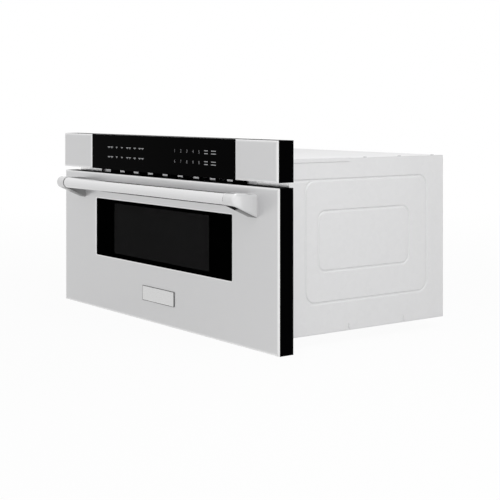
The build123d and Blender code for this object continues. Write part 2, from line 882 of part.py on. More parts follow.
def supply_board(x, y):
    """A circuit board on four posts over the cavity roof, with its larger components."""
    low = roof_top + board_lift
    board = block(x, y, (low, low + board_sheet))
    for corner_x in grown(x, -board_post_inset):
        for corner_y in grown(y, -board_post_inset):
            board += rod_z(corner_x, corner_y, (roof_top, low), board_post_radius)
    top = low + board_sheet
    middle_y = sum(y) / 2
    width, depth, height = part_block
    board += block(around(x[0] + width, width), around(middle_y, depth), (top, top + height))
    width, depth, height = relay_block
    for side in (-1, 1):
        relay_y = around(middle_y + side * depth, depth)
        board += block(around(x[1] - width, width), relay_y, (top, top + height))
    return board


def control_board():
    """Circuit board behind the control glass."""
    z = around((fascia_low + fascia_high) / 2, control_board_height)
    y = (wall_rear + board_lift, wall_rear + board_lift + board_sheet)
    board = block(both(control_board_width / 2), y, z)
    for x in evenly(chip_count, chip_pitch):
        board += block(around(x, chip_size), (y[1], y[1] + chip_height), around(sum(z) / 2, chip_size))
    return board


def display_module():
    """Display behind the middle of the control glass, carried by the control board."""
    z = around((fascia_low + fascia_high) / 2, display_height)
    glass_rear = fascia_front + control_glass_thickness
    return block(both(display_width / 2), (glass_rear + fit_gap, wall_rear + board_lift), z)


def cord_gland():
    """Strain relief bush in the sunk pocket of the rear panel."""
    floor = cabinet_back - inlet_pocket_depth
    gland = rod_y(inlet_x, (floor - gland_length, floor), inlet_z, gland_radius)
    gland += rod_y(inlet_x, (floor, floor + gland_flange_thickness), inlet_z, gland_flange)
    return gland - rod_y(inlet_x, (floor - far, floor + far), inlet_z, gland_bore)


# ---------------------------------------------------------------- cooling fan
def fan_housing():
    """Fan frame on the rear panel, with a ring for the wheel and a spider for the motor."""
    y = (panel_front - fan_depth, panel_front)
    housing = slab(around(fan_x, fan_frame), y, around(fan_z, fan_frame), fan_frame_round)
    housing -= rod_y(fan_x, grown(y, fan_depth), fan_z, fan_bore)
    spider_y = (y[0], y[0] + fan_spider)
    for angle in every_way(full_turn / fan_arm_count / 2, fan_arm_count):
        arm = block((0, fan_bore + fit_gap), spider_y, around(0, fan_arm))
        housing += Pos(fan_x, 0, fan_z) * Rot(0, angle, 0) * arm
    housing += rod_y(fan_x, spider_y, fan_z, fan_motor_radius)
    return housing - rod_y(fan_x, grown(spider_y, fan_spider), fan_z, fan_shaft_radius + shaft_gap)


def fan_motor():
    """Motor of the cooling fan, in front of its spider."""
    y = (panel_front - fan_depth - fan_motor_length, panel_front - fan_depth)
    motor = rod_y(fan_x, y, fan_z, fan_motor_radius)
    motor = fillet(motor.edges().sort_by(Axis.Y)[0], fan_shaft_radius)
    bore = (y[1] - fan_shaft_grip - shaft_gap, y[1] + fan_spider)
    return motor - rod_y(fan_x, bore, fan_z, fan_shaft_radius + shaft_gap)


def fan_wheel():
    """Cooling fan wheel with its shaft."""
    frame = panel_front - fan_depth
    y = (frame + fan_spider + fan_hub_gap, panel_front - fan_hub_gap)
    wheel = rod_y(fan_x, y, fan_z, fan_hub_radius)
    wheel = fillet(wheel.edges().sort_by(Axis.Y)[-1], fan_shaft_radius)
    wheel += rod_y(fan_x, (frame - fan_shaft_grip, y[0]), fan_z, fan_shaft_radius)
    middle = sum(y) / 2
    reach = (fan_hub_radius / 2, fan_radius)
    ring = rod_y(0, y, 0, fan_radius) - rod_y(0, y, 0, fan_hub_radius / 2)
    for angle in every_way(0, fan_blade_count):
        blade = block(reach, around(0, fan_blade_width), around(0, fan_blade_sheet))
        pitched = Rot(0, angle, 0) * Pos(0, middle, 0) * Rot(fan_blade_angle, 0, 0) * blade
        wheel += Pos(fan_x, 0, fan_z) * (pitched & ring)
    return wheel


# ---------------------------------------------------------------- slides
def slide_channel(inset_x, inset_z, lip, y):
    """One member of the right slide: a C channel open towards the cavity."""
    x = (slide_inner_face + lip, slide_outer_face - inset_x)
    z = around(slide_centre, slide_height - 2 * inset_z)
    member = block(x, y, z)
    return member - block((x[0] - far, x[1] - slide_member_sheet), both(far), grown(z, -slide_member_sheet))


def slide_outer():
    """Fixed member of the right slide."""
    return slide_channel(0, 0, slide_outer_lip, (slide_setback, slide_setback + slide_length))


def slide_middle():
    """Middle member of the right slide."""
    step = slide_member_sheet + slide_gap
    y = (slide_setback, slide_setback + slide_length)
    return slide_channel(2 * step, step, slide_middle_lip, y)


def slide_inner():
    """Drawer member of the right slide, with the foot that meets the door's inner panel."""
    step = 2 * (slide_member_sheet + slide_gap)
    z = around(slide_centre, slide_height - 2 * step)
    x = (slide_inner_face, slide_inner_face + slide_thickness / 2)
    y = (panel_rear, slide_setback + slide_length)
    member = block(x, y, z)
    member -= block((x[0] + slide_member_sheet, x[1] + far), both(far), grown(z, -slide_member_sheet))
    foot = block((x[0], x[0] + slide_foot_width), (panel_rear, panel_rear + bracket_sheet), z)
    return member + foot


def slide_bracket():
    """Right bracket that carries the slide on the base pan."""
    y = (bracket_margin, slide_setback + slide_length - bracket_margin)
    bracket = block((slide_outer_face, bay_inner), y, (cabinet_sheet, bracket_top))
    foot = block((slide_outer_face - bracket_foot, slide_outer_face), y,
                 (cabinet_sheet, cabinet_sheet + bracket_sheet))
    return bracket + foot


# ---------------------------------------------------------------- drive
def involute_points(tooth_radius, tip_radius, root_radius, half_angle):
    """Points of one tooth flank from root to tip, about the middle of the tooth."""
    base = tooth_radius * math.cos(math.radians(pressure_angle))
    roll_pitch = math.sqrt((tooth_radius / base) ** 2 - 1)
    polar_pitch = roll_pitch - math.atan(roll_pitch)
    start = max(base, root_radius)
    points = [(root_radius, half_angle + polar_pitch)]
    for step in range(flank_steps + 1):
        radius = start + (tip_radius - start) * step / flank_steps
        roll = math.sqrt((radius / base) ** 2 - 1)
        points.append((radius, half_angle + polar_pitch - (roll - math.atan(roll))))
    return points


def pinion_outline():
    """Closed outline of the pinion, with a tooth space at the top."""
    half_angle = (tooth_pitch / 2 - gear_backlash) / 2 / pinion_pitch_radius
    flank = involute_points(pinion_pitch_radius, pinion_pitch_radius + addendum,
                            pinion_pitch_radius - dedendum, half_angle)
    points = []
    for tooth in range(pinion_teeth):
        middle = math.pi / 2 - math.pi / pinion_teeth - 2 * math.pi * tooth / pinion_teeth
        rising = [(radius, middle + angle) for radius, angle in flank]
        falling = [(radius, middle - angle) for radius, angle in reversed(flank)]
        points += [(radius * math.cos(turn), radius * math.sin(turn)) for radius, turn in rising + falling]
    return points


def drive_pinion():
    """Pinion and its shaft; the rack runs over its top."""
    plane = Plane(origin=(rack_x - pinion_width / 2, pinion_y, pinion_z), x_dir=(0, 1, 0), z_dir=(1, 0, 0))
    gear = extrude(plane * make_face(Polyline(*pinion_outline(), close=True)), pinion_width)
    shaft = (rack_x - pinion_width / 2, motor_face + pinion_shaft_grip)
    return gear + rod_x(shaft, pinion_y, pinion_z, pinion_shaft_radius)


def rack_outline():
    """Outline of the toothed stretch, each tooth pointing down, in y and z."""
    slope = math.tan(math.radians(pressure_angle))
    half = (tooth_pitch / 2 - gear_backlash) / 2
    tip = half - slope * addendum
    root = half + slope * dedendum
    last = math.ceil(drawer_travel / tooth_pitch) + rack_spare_teeth
    points = []
    for tooth in range(-rack_spare_teeth, last + 1):
        y = pinion_y + tooth * tooth_pitch
        points += [(y - root, rack_root), (y - tip, rack_root - dedendum - addendum),
                   (y + tip, rack_root - dedendum - addendum), (y + root, rack_root)]
    return points


def drive_rack():
    """Rack that moves with the door, with its foot on the door's inner panel."""
    teeth = rack_outline()
    end = teeth[-1][0] + tooth_pitch
    outline = [(panel_rear, rack_top), (panel_rear, rack_root), *teeth, (end, rack_root), (end, rack_top)]
    plane = Plane(origin=(rack_x - rack_width / 2, 0, 0), x_dir=(0, 1, 0), z_dir=(1, 0, 0))
    rack = extrude(plane * make_face(Polyline(*outline, close=True)), rack_width)
    foot = block(around(rack_x, rack_foot), (panel_rear, panel_rear + rack_foot_sheet),
                 grown((rack_root, rack_top), rack_foot_sheet))
    return rack + foot


def motor_bracket():
    """Bracket of the drive motor; its upper lip guides the back of the rack."""
    y = around(pinion_y, motor_bracket_depth)
    lip_low = rack_top + guide_gap
    x = (motor_bracket_x, motor_face)
    bracket = block(x, y, (cabinet_sheet, lip_low + bracket_sheet))
    bracket += block((rack_x - rack_width / 2, motor_face), y, (lip_low, lip_low + bracket_sheet))
    foot_z = (cabinet_sheet, cabinet_sheet + bracket_sheet)
    bracket += block((motor_face, motor_face + bracket_foot), y, foot_z)
    return bracket - rod_x(grown(x, bracket_sheet), pinion_y, pinion_z, motor_boss_radius + fit_gap)


def drive_motor():
    """Geared motor that drives the pinion."""
    x = (motor_face, motor_face + motor_length)
    low = cabinet_sheet + bracket_sheet
    motor = slab(x, around(pinion_y, motor_size), (low, low + motor_size), motor_round, Axis.X)
    motor += rod_x((motor_face - motor_boss_length, motor_face), pinion_y, pinion_z, motor_boss_radius)
    bore = (motor_face - 2 * motor_boss_length, motor_face + pinion_shaft_grip + fit_gap)
    return motor - rod_x(bore, pinion_y, pinion_z, pinion_shaft_radius + shaft_gap)


# ---------------------------------------------------------------- interlock
def latch_hook():
    """Right latch hook of the door: a foot on the inner panel and a notched blade."""
    z = around(hook_height, hook_depth)
    blade = block(around(hook_x, hook_thickness), (panel_rear, hook_reach), z)
    notch = (hook_reach - 2 * hook_notch, hook_reach - hook_notch)
    blade -= block(both(far), notch, (z[1] - hook_notch, z[1]))
    foot = block(around(hook_x, hook_foot), (panel_rear, panel_rear + bracket_sheet), z)
    return blade + foot


def switch_holder():
    """Right holder of the interlock switches, on the rear of the front plate."""
    inner = hook_x + hook_thickness / 2 + switch_gap + switch_thickness
    x = (inner, inner + holder_thickness)
    y = (plate_sheet, plate_sheet + holder_length)
    holder = slab(x, y, around(hook_height, holder_height), fit_gap, Axis.X)
    return holder


def interlock_switches():
    """Three microswitches beside the right hook, on the holder's face."""
    outer = hook_x + hook_thickness / 2 + switch_gap + switch_thickness
    switches = []
    for row in evenly(switch_count, switch_pitch):
        z = around(hook_height + row, switch_height)
        y = (plate_sheet + switch_gap, plate_sheet + switch_gap + switch_length)
        switches.append(slab((outer - switch_thickness, outer), y, z, switch_gap, Axis.X))
    return switches


# ---------------------------------------------------------------- door
def handle_screw_points():
    """Places of the handle screws, in x and z."""
    x = handle_half + handle_bracket_width / 2
    return [(side * x, handle_z - drop) for side in (-1, 1) for drop in handle_screw_drop]


def door_skin():
    """Brushed steel front of the door."""
    y = (door_front, skin_rear)
    skin = block(both(front_half), y, (door_low, door_high))
    skin -= slab(both(window_width / 2), grown(y, skin_sheet), window_z, window_corner)
    skin = fillet(skin.faces().sort_by(Axis.Y)[0].edges(), skin_round)
    for x, z in handle_screw_points():
        skin -= rod_y(x, grown(y, skin_sheet), z, handle_screw_radius + screw_hole_gap)
    return skin


def door_frame():
    """Black frame of the door: rim, web behind the glass and the clear opening."""
    frame = block(both(front_half), (skin_rear, door_rear), (door_low, door_high))
    frame -= block(both(pocket_half), (web_rear, far), pocket_z)
    pane = window_width / 2 + glass_lap + fit_gap
    frame -= block(both(pane), (skin_rear - skin_sheet, skin_rear + glass_thickness + fit_gap),
                   grown(window_z, glass_lap + fit_gap))
    frame -= slab(both(view_width / 2), both(far), view_z, window_corner)
    for x, z in handle_screw_points():
        frame -= rod_y(x, both(far), z, handle_screw_radius + screw_hole_gap)
    return frame


def door_glass():
    """Tinted outer glass, behind the window of the skin."""
    x = both(window_width / 2 + glass_lap)
    return block(x, (skin_rear, skin_rear + glass_thickness), grown(window_z, glass_lap))


def door_inner_panel():
    """Inner panel: base, choke channel around the mouth and the plateau that carries the tub."""
    base_y = (web_rear, panel_rear)
    wall_y = (web_rear, choke_face)
    panel = block(both(pocket_half - fit_gap), base_y, grown(pocket_z, -fit_gap))
    panel += block(both(choke_out_half), wall_y, choke_out_z)
    panel -= block(both(choke_out_half - panel_sheet), (panel_rear, far), grown(choke_out_z, -panel_sheet))
    panel += block(both(choke_in_half), wall_y, choke_in_z)
    panel -= block(both(choke_in_half - panel_sheet), (-far, choke_face - panel_sheet),
                   grown(choke_in_z, -panel_sheet))
    opening = both(view_width / 2 + screen_relief)
    panel -= slab(opening, both(far), grown(view_z, screen_relief), window_corner)
    for x, z in handle_screw_points():
        panel -= rod_y(x, both(far), z, handle_screw_head + fit_gap)
    return panel


def choke_cover():
    """Plastic ring that closes the choke channel and meets the front plate."""
    y = (choke_face, door_rear)
    ring = slab(both(choke_out_half + panel_sheet), y, grown(choke_out_z, panel_sheet), window_corner)
    return ring - slab(both(choke_in_half - panel_sheet), grown(y, panel_sheet),
                       grown(choke_in_z, -panel_sheet), window_corner)


def door_screen():
    """Perforated metal screen in front of the plateau's opening."""
    rear = choke_face - panel_sheet
    return block(both(view_width / 2 + screen_relief + screen_lap), (rear - screen_sheet, rear),
                 grown(view_z, screen_relief + screen_lap))


def inner_glass():
    """Inner pane in front of the screen."""
    rear = choke_face - panel_sheet - screen_sheet
    return block(both(view_width / 2 + screen_relief + screen_lap), (rear - inner_glass_thickness, rear),
                 grown(view_z, screen_relief + screen_lap))


def badge_plate():
    """Small bare plate below the window, with a fine raised rim."""
    low = door_low + badge_rise
    y = (door_front - badge_thickness, door_front)
    x = both(badge_width / 2)
    z = (low, low + badge_height)
    plate = slab(x, y, z, badge_corner)
    field = slab(grown(x, -badge_rim), (y[0], y[0] + badge_recess), grown(z, -badge_rim), badge_corner / 2)
    return plate - field


def handle_bar():
    """Round handle tube with rounded ends."""
    bar = rod_x(both(handle_half - handle_seam), handle_y, handle_z, handle_radius)
    bar = fillet(bar.edges().filter_by(GeomType.CIRCLE), handle_end_round)
    return bar - rod_x(both(far), handle_y, handle_z, handle_radius - handle_wall)


def handle_bracket():
    """Right handle bracket: a rounded nose that tapers down to its foot on the door."""
    radius = handle_radius + handle_bracket_proud
    nose = CenterArc((handle_y, handle_z), radius, 0, full_turn)
    foot = Line((door_front, handle_z - handle_foot_low), (door_front, handle_z + handle_foot_high))
    outline = make_hull([nose.edge(), foot.edge()])
    plane = Plane(origin=(handle_half, 0, 0), x_dir=(0, 1, 0), z_dir=(1, 0, 0))
    bracket = extrude(plane * outline, handle_bracket_width)
    for side, edge_round in ((-1, handle_nose_round), (0, handle_inner_round)):
        edges = bracket.faces().sort_by(Axis.X)[side].edges()
        bracket = fillet([edge for edge in edges if edge.center().Y < door_front - fit_gap], edge_round)
    spigot = (handle_half - spigot_length, handle_half + spigot_length)
    bracket += rod_x(spigot, handle_y, handle_z, handle_radius - handle_wall - spigot_gap)
    for x, z in handle_screw_points()[len(handle_screw_drop):]:
        bracket -= rod_y(x, (door_front - handle_screw_bite, door_front), z, handle_screw_radius)
    return bracket


def handle_screws():
    """The four screws that hold the handle from inside the door."""
    screws = []
    for x, z in handle_screw_points():
        shank = rod_y(x, (door_front - handle_screw_bite, web_rear), z, handle_screw_radius)
        head = rod_y(x, (web_rear, web_rear + handle_screw_head_height), z, handle_screw_head)
        screws.append(shank + head)
    return group(screws)


def tub():
    """Open drawer tub in one drawn sheet, with a turned rim and a window in its front wall."""
    def shell(by):
        """The tub's outline taken in by an even thickness, open to the top when it is."""
        top = tub_high if by == 0 else tub_high + tub_height
        body = block(both(tub_half - by), (tub_front + by, tub_back - by), (tub_low + by, top))
        body = fillet(body.edges().filter_by(Axis.Z), tub_corner - by)
        return fillet(body.faces().sort_by(Axis.Z)[0].edges(), tub_bottom_round - by)

    rim = block(both(tub_half + tub_rim), (tub_front - tub_rim, tub_back + tub_rim),
                (tub_high - tub_sheet, tub_high))
    rim = fillet(rim.edges().filter_by(Axis.Z), tub_corner + tub_rim)
    rim &= block(both(far), (tub_front, far), (0, far))
    box = shell(0) + rim - shell(tub_sheet)
    opening = both(view_width / 2 + screen_relief)
    return box - block(opening, (tub_front - tub_sheet, tub_front + 2 * tub_sheet),
                       (view_z[0] - screen_relief, far))


def tray_plate():
    """Ceramic plate on the floor of the tub."""
    low = tub_low + tub_sheet
    inset = tub_sheet + tray_margin
    return slab(both(tub_half - inset), (tub_front + inset, tub_back - inset), (low, low + tray_thickness),
                tray_corner, Axis.Z)


# ---------------------------------------------------------------- control panel
def fascia_housing():
    """Black housing of the control panel, with a seat for the glass and posts for the board."""
    z = (fascia_low, fascia_high)
    housing = block(both(front_half), (trim_rear, 0), z)
    housing -= block(both(front_half - fascia_cap), (wall_rear, far), grown(z, -fascia_wall))
    glass_rear = fascia_front + control_glass_thickness
    housing -= block(both(control_glass_width / 2), (-far, glass_rear), grown(z, fascia_wall))
    middle = sum(z) / 2
    display_z = around(middle, display_height + 2 * fit_gap)
    housing -= block(both(display_width / 2 + fit_gap), (-far, wall_rear), display_z)
    for x in both(control_board_width / 2 - board_post_inset):
        for post_z in around(middle, control_board_height - 2 * board_post_inset):
            housing += rod_y(x, (wall_rear, wall_rear + board_lift), post_z, board_post_radius)
    return housing


def control_glass():
    """Black glass of the touch controls."""
    y = (fascia_front, fascia_front + control_glass_thickness)
    glass = block(both(control_glass_width / 2 - fit_gap / 2), y, (fascia_low, fascia_high))
    return fillet(glass.faces().sort_by(Axis.Y)[0].edges(), fit_gap)


def fascia_trim():
    """Right brushed steel end of the control panel."""
    y = (fascia_front, trim_rear)
    trim = block((control_glass_width / 2, front_half), y, (fascia_low + trim_lift, fascia_high))
    return fillet(trim.faces().sort_by(Axis.Y)[0].edges(), skin_round)


# ---------------------------------------------------------------- all pieces, by name
pieces = {
    "base_pan": base_pan(),
    "side_panel_right": side_panel(),
    "side_panel_left": other_side(side_panel()),
    "rear_panel": rear_panel(),
    "top_cover": top_cover(),
    "top_doubler": top_doubler(),
    "cabinet_screws": cabinet_screws(),
    "front_plate": front_plate(),
    "vent_grille": vent_grille(),
    "exhaust_duct": exhaust_duct(),
    "cavity_wrap": cavity_wrap(),
    "cavity_floor": cavity_floor(),
    "cavity_back": cavity_back(),
    "cavity_supports": group([cavity_support(), other_side(cavity_support())]),
    "waveguide": waveguide(),
    "magnetron": magnetron(),
    "magnetron_yoke": magnetron_yoke(),
    "stirrer_motor": stirrer_motor(),
    "stirrer_fan": stirrer_fan(),
    "stirrer_cover": stirrer_cover(),
    "oven_lamp": group([lamp_holder(), lamp_bulb()]),
    "transformer_core": transformer_core(),
    "transformer_coil": transformer_coil(),
    "hv_capacitor": hv_capacitor(),
    "power_board": supply_board(power_board_x, power_board_y),
    "noise_filter_board": supply_board(filter_board_x, filter_board_y),
    "cord_gland": cord_gland(),
    "fan_housing": fan_housing(),
    "fan_motor": fan_motor(),
    "fan_wheel": fan_wheel(),
    "slide_brackets": group([slide_bracket(), other_side(slide_bracket())]),
    "slide_outer_members": group([slide_outer(), other_side(slide_outer())]),
    "slide_middle_right": slide_middle(),
    "slide_middle_left": other_side(slide_middle()),
    "slide_inner_members": group([slide_inner(), other_side(slide_inner())]),
    "motor_bracket": motor_bracket(),
    "drive_motor": drive_motor(),
    "drive_pinion": drive_pinion(),
    "drive_rack": drive_rack(),
    "latch_hooks": group([latch_hook(), other_side(latch_hook())]),
    "switch_holders": group([switch_holder(), other_side(switch_holder())]),
    "interlock_switches": group(interlock_switches() + [other_side(one) for one in interlock_switches()]),
    "door_skin": door_skin(),
    "door_frame": door_frame(),
    "door_glass": door_glass(),
    "door_inner_panel": door_inner_panel(),
    "choke_cover": choke_cover(),
    "window_screen": door_screen(),
    "inner_glass": inner_glass(),
    "badge_plate": badge_plate(),
    "handle_bar": handle_bar(),
    "handle_brackets": group([handle_bracket(), other_side(handle_bracket())]),
    "handle_screws": handle_screws(),
    "tub": tub(),
    "tray_plate": tray_plate(),
    "control_panel_housing": fascia_housing(),
    "control_glass": control_glass(),
    "control_panel_trims": group([fascia_trim(), other_side(fascia_trim())]),
    "control_board": control_board(),
    "display_module": display_module(),
}

home = Pos(0, -cabinet_back / 2, 0)
os.makedirs("parts", exist_ok=True)
for name, piece in pieces.items():
    placed = group([home * solid for solid in piece.solids()])
    export_step(placed, f"parts/{name}.step")
print(len(pieces), "pieces")
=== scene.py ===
"""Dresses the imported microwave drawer: finishes, fine sheet-metal pieces, touch marks and a pale studio.

The frame is the part's own, in metres: +X to the right of someone facing the front, +Y to the rear, +Z up,
with the origin at the middle of the cabinet's underside. The pieces' sizes and places are in millimetres,
and those of the finishes and the studio are in metres.
"""

from __future__ import annotations

import json
import logging
import math
from dataclasses import dataclass
from enum import Enum
from typing import Any, Callable, Iterable, Mapping, Sequence

import bmesh
import bpy
from mathutils import Matrix, Vector

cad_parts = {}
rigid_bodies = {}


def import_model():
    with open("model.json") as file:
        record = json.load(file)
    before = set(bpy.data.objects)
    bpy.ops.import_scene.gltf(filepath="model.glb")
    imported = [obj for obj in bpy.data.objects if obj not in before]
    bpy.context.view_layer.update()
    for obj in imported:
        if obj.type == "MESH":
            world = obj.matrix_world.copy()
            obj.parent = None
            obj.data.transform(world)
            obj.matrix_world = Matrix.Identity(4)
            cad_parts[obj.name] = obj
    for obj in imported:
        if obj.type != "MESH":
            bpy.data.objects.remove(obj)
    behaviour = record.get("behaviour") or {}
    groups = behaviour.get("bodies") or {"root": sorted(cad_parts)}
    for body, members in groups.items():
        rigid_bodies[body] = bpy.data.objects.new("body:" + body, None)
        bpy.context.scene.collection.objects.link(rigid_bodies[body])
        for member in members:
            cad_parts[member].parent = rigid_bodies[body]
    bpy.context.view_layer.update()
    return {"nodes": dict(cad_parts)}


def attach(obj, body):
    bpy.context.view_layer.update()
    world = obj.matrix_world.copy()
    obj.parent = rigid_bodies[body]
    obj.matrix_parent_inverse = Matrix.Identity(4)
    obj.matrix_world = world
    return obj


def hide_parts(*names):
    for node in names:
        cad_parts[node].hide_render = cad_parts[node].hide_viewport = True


log = logging.getLogger("microwave_drawer")

Pair = tuple[float, float]
Triple = tuple[float, float, float]
Colour = Triple
Ring = list[Vector]
Socket = bpy.types.NodeSocket

MM = 0.001
SHARPEST = 0.05     # smallest corner radius of an outline, in millimetres
ROUND_STEPS = 6     # segments in a quarter round
FULL = (0.0, 1.0)
NOISY = (0.3, 0.7)      # where most of a noise lies
TO_FRONT = (0.0, -1.0, 0.0)
UP = (0.0, 0.0, 1.0)


def grey(level: float) -> Colour:
    """A neutral colour."""
    return (level, level, level)


def opaque(colour: Colour) -> tuple[float, float, float, float]:
    """The colour as a colour socket takes it."""
    return (*colour, 1.0)


# ---------------------------------------------------------------- shader graphs
class Graph:
    """A node tree with short calls for the nodes that the finishes use."""

    def __init__(self, tree: bpy.types.NodeTree) -> None:
        """Wraps the tree that the nodes are added to."""
        self.tree = tree

    @classmethod
    def of(cls, owner: bpy.types.Material | bpy.types.World) -> Graph:
        """Empties the node tree of a material or a world.

        Args:
            owner: The material or world.

        Returns:
            The graph of its tree.
        """
        owner.use_nodes = True
        owner.node_tree.nodes.clear()
        return cls(owner.node_tree)

    def add(self, kind: str, inputs: Mapping[int | str, Any] | None = None,
            **settings: Any) -> bpy.types.Node:
        """Adds a node.

        Args:
            kind: Its type name.
            inputs: An output to link or a constant to set, by the input's name or number.
            settings: Properties to set on it.

        Returns:
            The new node.
        """
        node = self.tree.nodes.new(kind)
        for name, value in settings.items():
            setattr(node, name, value)
        for name, value in (inputs or {}).items():
            if isinstance(value, bpy.types.NodeSocket):
                self.tree.links.new(value, node.inputs[name])
            else:
                node.inputs[name].default_value = value
        return node

    def place(self) -> Socket:
        """The point on the piece, in metres, in the piece's own frame."""
        return self.add("ShaderNodeTexCoord").outputs["Object"]

    def normal(self) -> Socket:
        """The surface's normal, in the scene's frame."""
        return self.add("ShaderNodeNewGeometry").outputs["Normal"]

    def seen(self) -> Socket:
        """1 where the camera looks, also in a mirror or through glass, and 0 for diffuse light.

        Returns:
            The mask's socket.
        """
        path = self.add("ShaderNodeLightPath").outputs
        direct = self.maths("MAXIMUM", path["Is Camera Ray"], path["Is Glossy Ray"])
        return self.maths("MAXIMUM", direct, path["Is Transmission Ray"])

    def maths(self, operation: str, *values: Any, clamp: bool = False) -> Socket:
        """Calculates with numbers, and may keep the result between 0 and 1."""
        inputs = dict(enumerate(values))
        return self.add("ShaderNodeMath", inputs, operation=operation, use_clamp=clamp).outputs[0]

    def vector(self, operation: str, *values: Any, result: int = 0) -> Socket:
        """Calculates with vectors. Result 0 is the vector, and 1 is the value."""
        return self.add("ShaderNodeVectorMath", dict(enumerate(values)), operation=operation).outputs[result]

    def weighed(self, first: Any, share: float, second: Any) -> Socket:
        """The first value by its share, and the second by the rest."""
        return self.maths("MULTIPLY_ADD", first, share, self.maths("MULTIPLY", second, 1 - share))

    def noise(self, where: Any, scale: Any, detail: float = 2.0, rough: float = 0.5,
              output: str = "Fac") -> Socket:
        """Noise with cells per unit, octaves of detail, and the share that each finer octave keeps."""
        inputs = {"Vector": where, "Scale": scale, "Detail": detail, "Roughness": rough}
        return self.add("ShaderNodeTexNoise", inputs).outputs[output]

    def cells(self, where: Any, scale: Any, output: str = "Distance", scatter: float = 1.0,
              **settings: str) -> Socket:
        """Voronoi cells, scattered by a share from an even grid, with settings such as their feature."""
        inputs = {"Vector": where, "Scale": scale, "Randomness": scatter}
        return self.add("ShaderNodeTexVoronoi", inputs, **settings).outputs[output]

    def spread(self, value: Any, source: tuple[Any, Any], target: tuple[Any, Any] = FULL) -> Socket:
        """Carries a value from one range into another, clamped."""
        return self.add("ShaderNodeMapRange", dict(enumerate((value, *source, *target)))).outputs[0]

    def mix(self, factor: Any, first: Any, second: Any) -> Socket:
        """Mixes two colours by the second one's share."""
        inputs = {"Factor": factor, "A": first, "B": second}
        return self.add("ShaderNodeMix", inputs, data_type="RGBA").outputs["Result"]

    def lay(self, mask: Any, share: float, under: Any, over: Any) -> Socket:
        """Lays one colour over another, by a share where a mask is 1."""
        return self.mix(self.maths("MULTIPLY", mask, share), under, over)

    def effect(self, effect: Effect, **values: Any) -> Any:
        """Places a shared effect with its inputs by name, and returns its outputs by name."""
        return self.add("ShaderNodeGroup", values, node_tree=effect.tree()).outputs


# ---------------------------------------------------------------- effects that finishes share
class Effect:
    """A shader node group that more than one finish uses, built once."""

    title: str = ""
    takes: Mapping[str, float | Triple] = {}

    def tree(self) -> bpy.types.NodeTree:
        """The group's tree, built the first time it is asked for.

        Returns:
            The node group.
        """
        built = bpy.data.node_groups.get(self.title)
        if built is not None:
            return built
        tree = bpy.data.node_groups.new(self.title, "ShaderNodeTree")
        for name, default in self.takes.items():
            kind = "NodeSocketVector" if isinstance(default, tuple) else "NodeSocketFloat"
            tree.interface.new_socket(name, in_out="INPUT", socket_type=kind).default_value = default
        graph = Graph(tree)
        results = self.wire(graph, graph.add("NodeGroupInput").outputs)
        for name, value in results.items():
            kind = "NodeSocketVector" if value.type == "VECTOR" else "NodeSocketFloat"
            tree.interface.new_socket(name, in_out="OUTPUT", socket_type=kind)
        graph.add("NodeGroupOutput", results)
        return tree

    def wire(self, graph: Graph, source: Any) -> dict[str, Socket]:
        """Builds the effect's nodes after the group's inputs, and returns its outputs by name."""
        raise NotImplementedError


class BrushedGrain(Effect):
    """Long fine scratches of a brushed sheet, with slow changes of tone across it."""

    title = "brushed_grain"
    takes = {"Stretch": (20.0, 900.0, 900.0), "Tone Scale": 3.0}
    finer = (2.7, 2.7, 2.7)
    streak_range = (0.32, 0.68)

    def wire(self, graph: Graph, source: Any) -> dict[str, Socket]:
        """Builds the streaks from two stretched noises, and the slow tone.

        Args:
            graph: The group's graph.
            source: The group's inputs by name.

        Returns:
            The group's outputs by name.
        """
        where = graph.vector("MULTIPLY", graph.place(), source["Stretch"])
        coarse = graph.noise(where, 1.0, detail=3.0, rough=0.6)
        fine = graph.noise(graph.vector("MULTIPLY", where, self.finer), 1.0, rough=0.6)
        tone = graph.noise(graph.place(), source["Tone Scale"])
        return {"Streak": graph.spread(graph.weighed(fine, 0.5, coarse), self.streak_range),
                "Tone": graph.spread(tone, NOISY)}


class EdgeGlint(Effect):
    """Finds the edges of a piece: where a highlight is painted on steel and plastic, and where handling has
    rubbed zinc.
    """

    title = "edge_glint"
    takes = {"Width": 0.001, "Raggedness": 0.3}
    turn_range = (0.99, 0.78)
    ragged_scale = 260.0

    def wire(self, graph: Graph, source: Any) -> dict[str, Socket]:
        """Compares the rounded normal with the true one.

        Args:
            graph: The group's graph.
            source: The group's inputs by name.

        Returns:
            The group's outputs by name.
        """
        rounded = graph.add("ShaderNodeBevel", {"Radius": source["Width"]}, samples=4).outputs[0]
        likeness = graph.vector("DOT_PRODUCT", rounded, graph.normal(), result=1)
        turned = graph.spread(likeness, self.turn_range)
        ragged = graph.maths("SUBTRACT", graph.noise(graph.place(), self.ragged_scale, detail=3.0), 0.5)
        worn = graph.maths("MULTIPLY", graph.maths("MULTIPLY", ragged, source["Raggedness"]), turned)
        return {"Mask": graph.maths("ADD", turned, worn, clamp=True), "Normal": rounded}


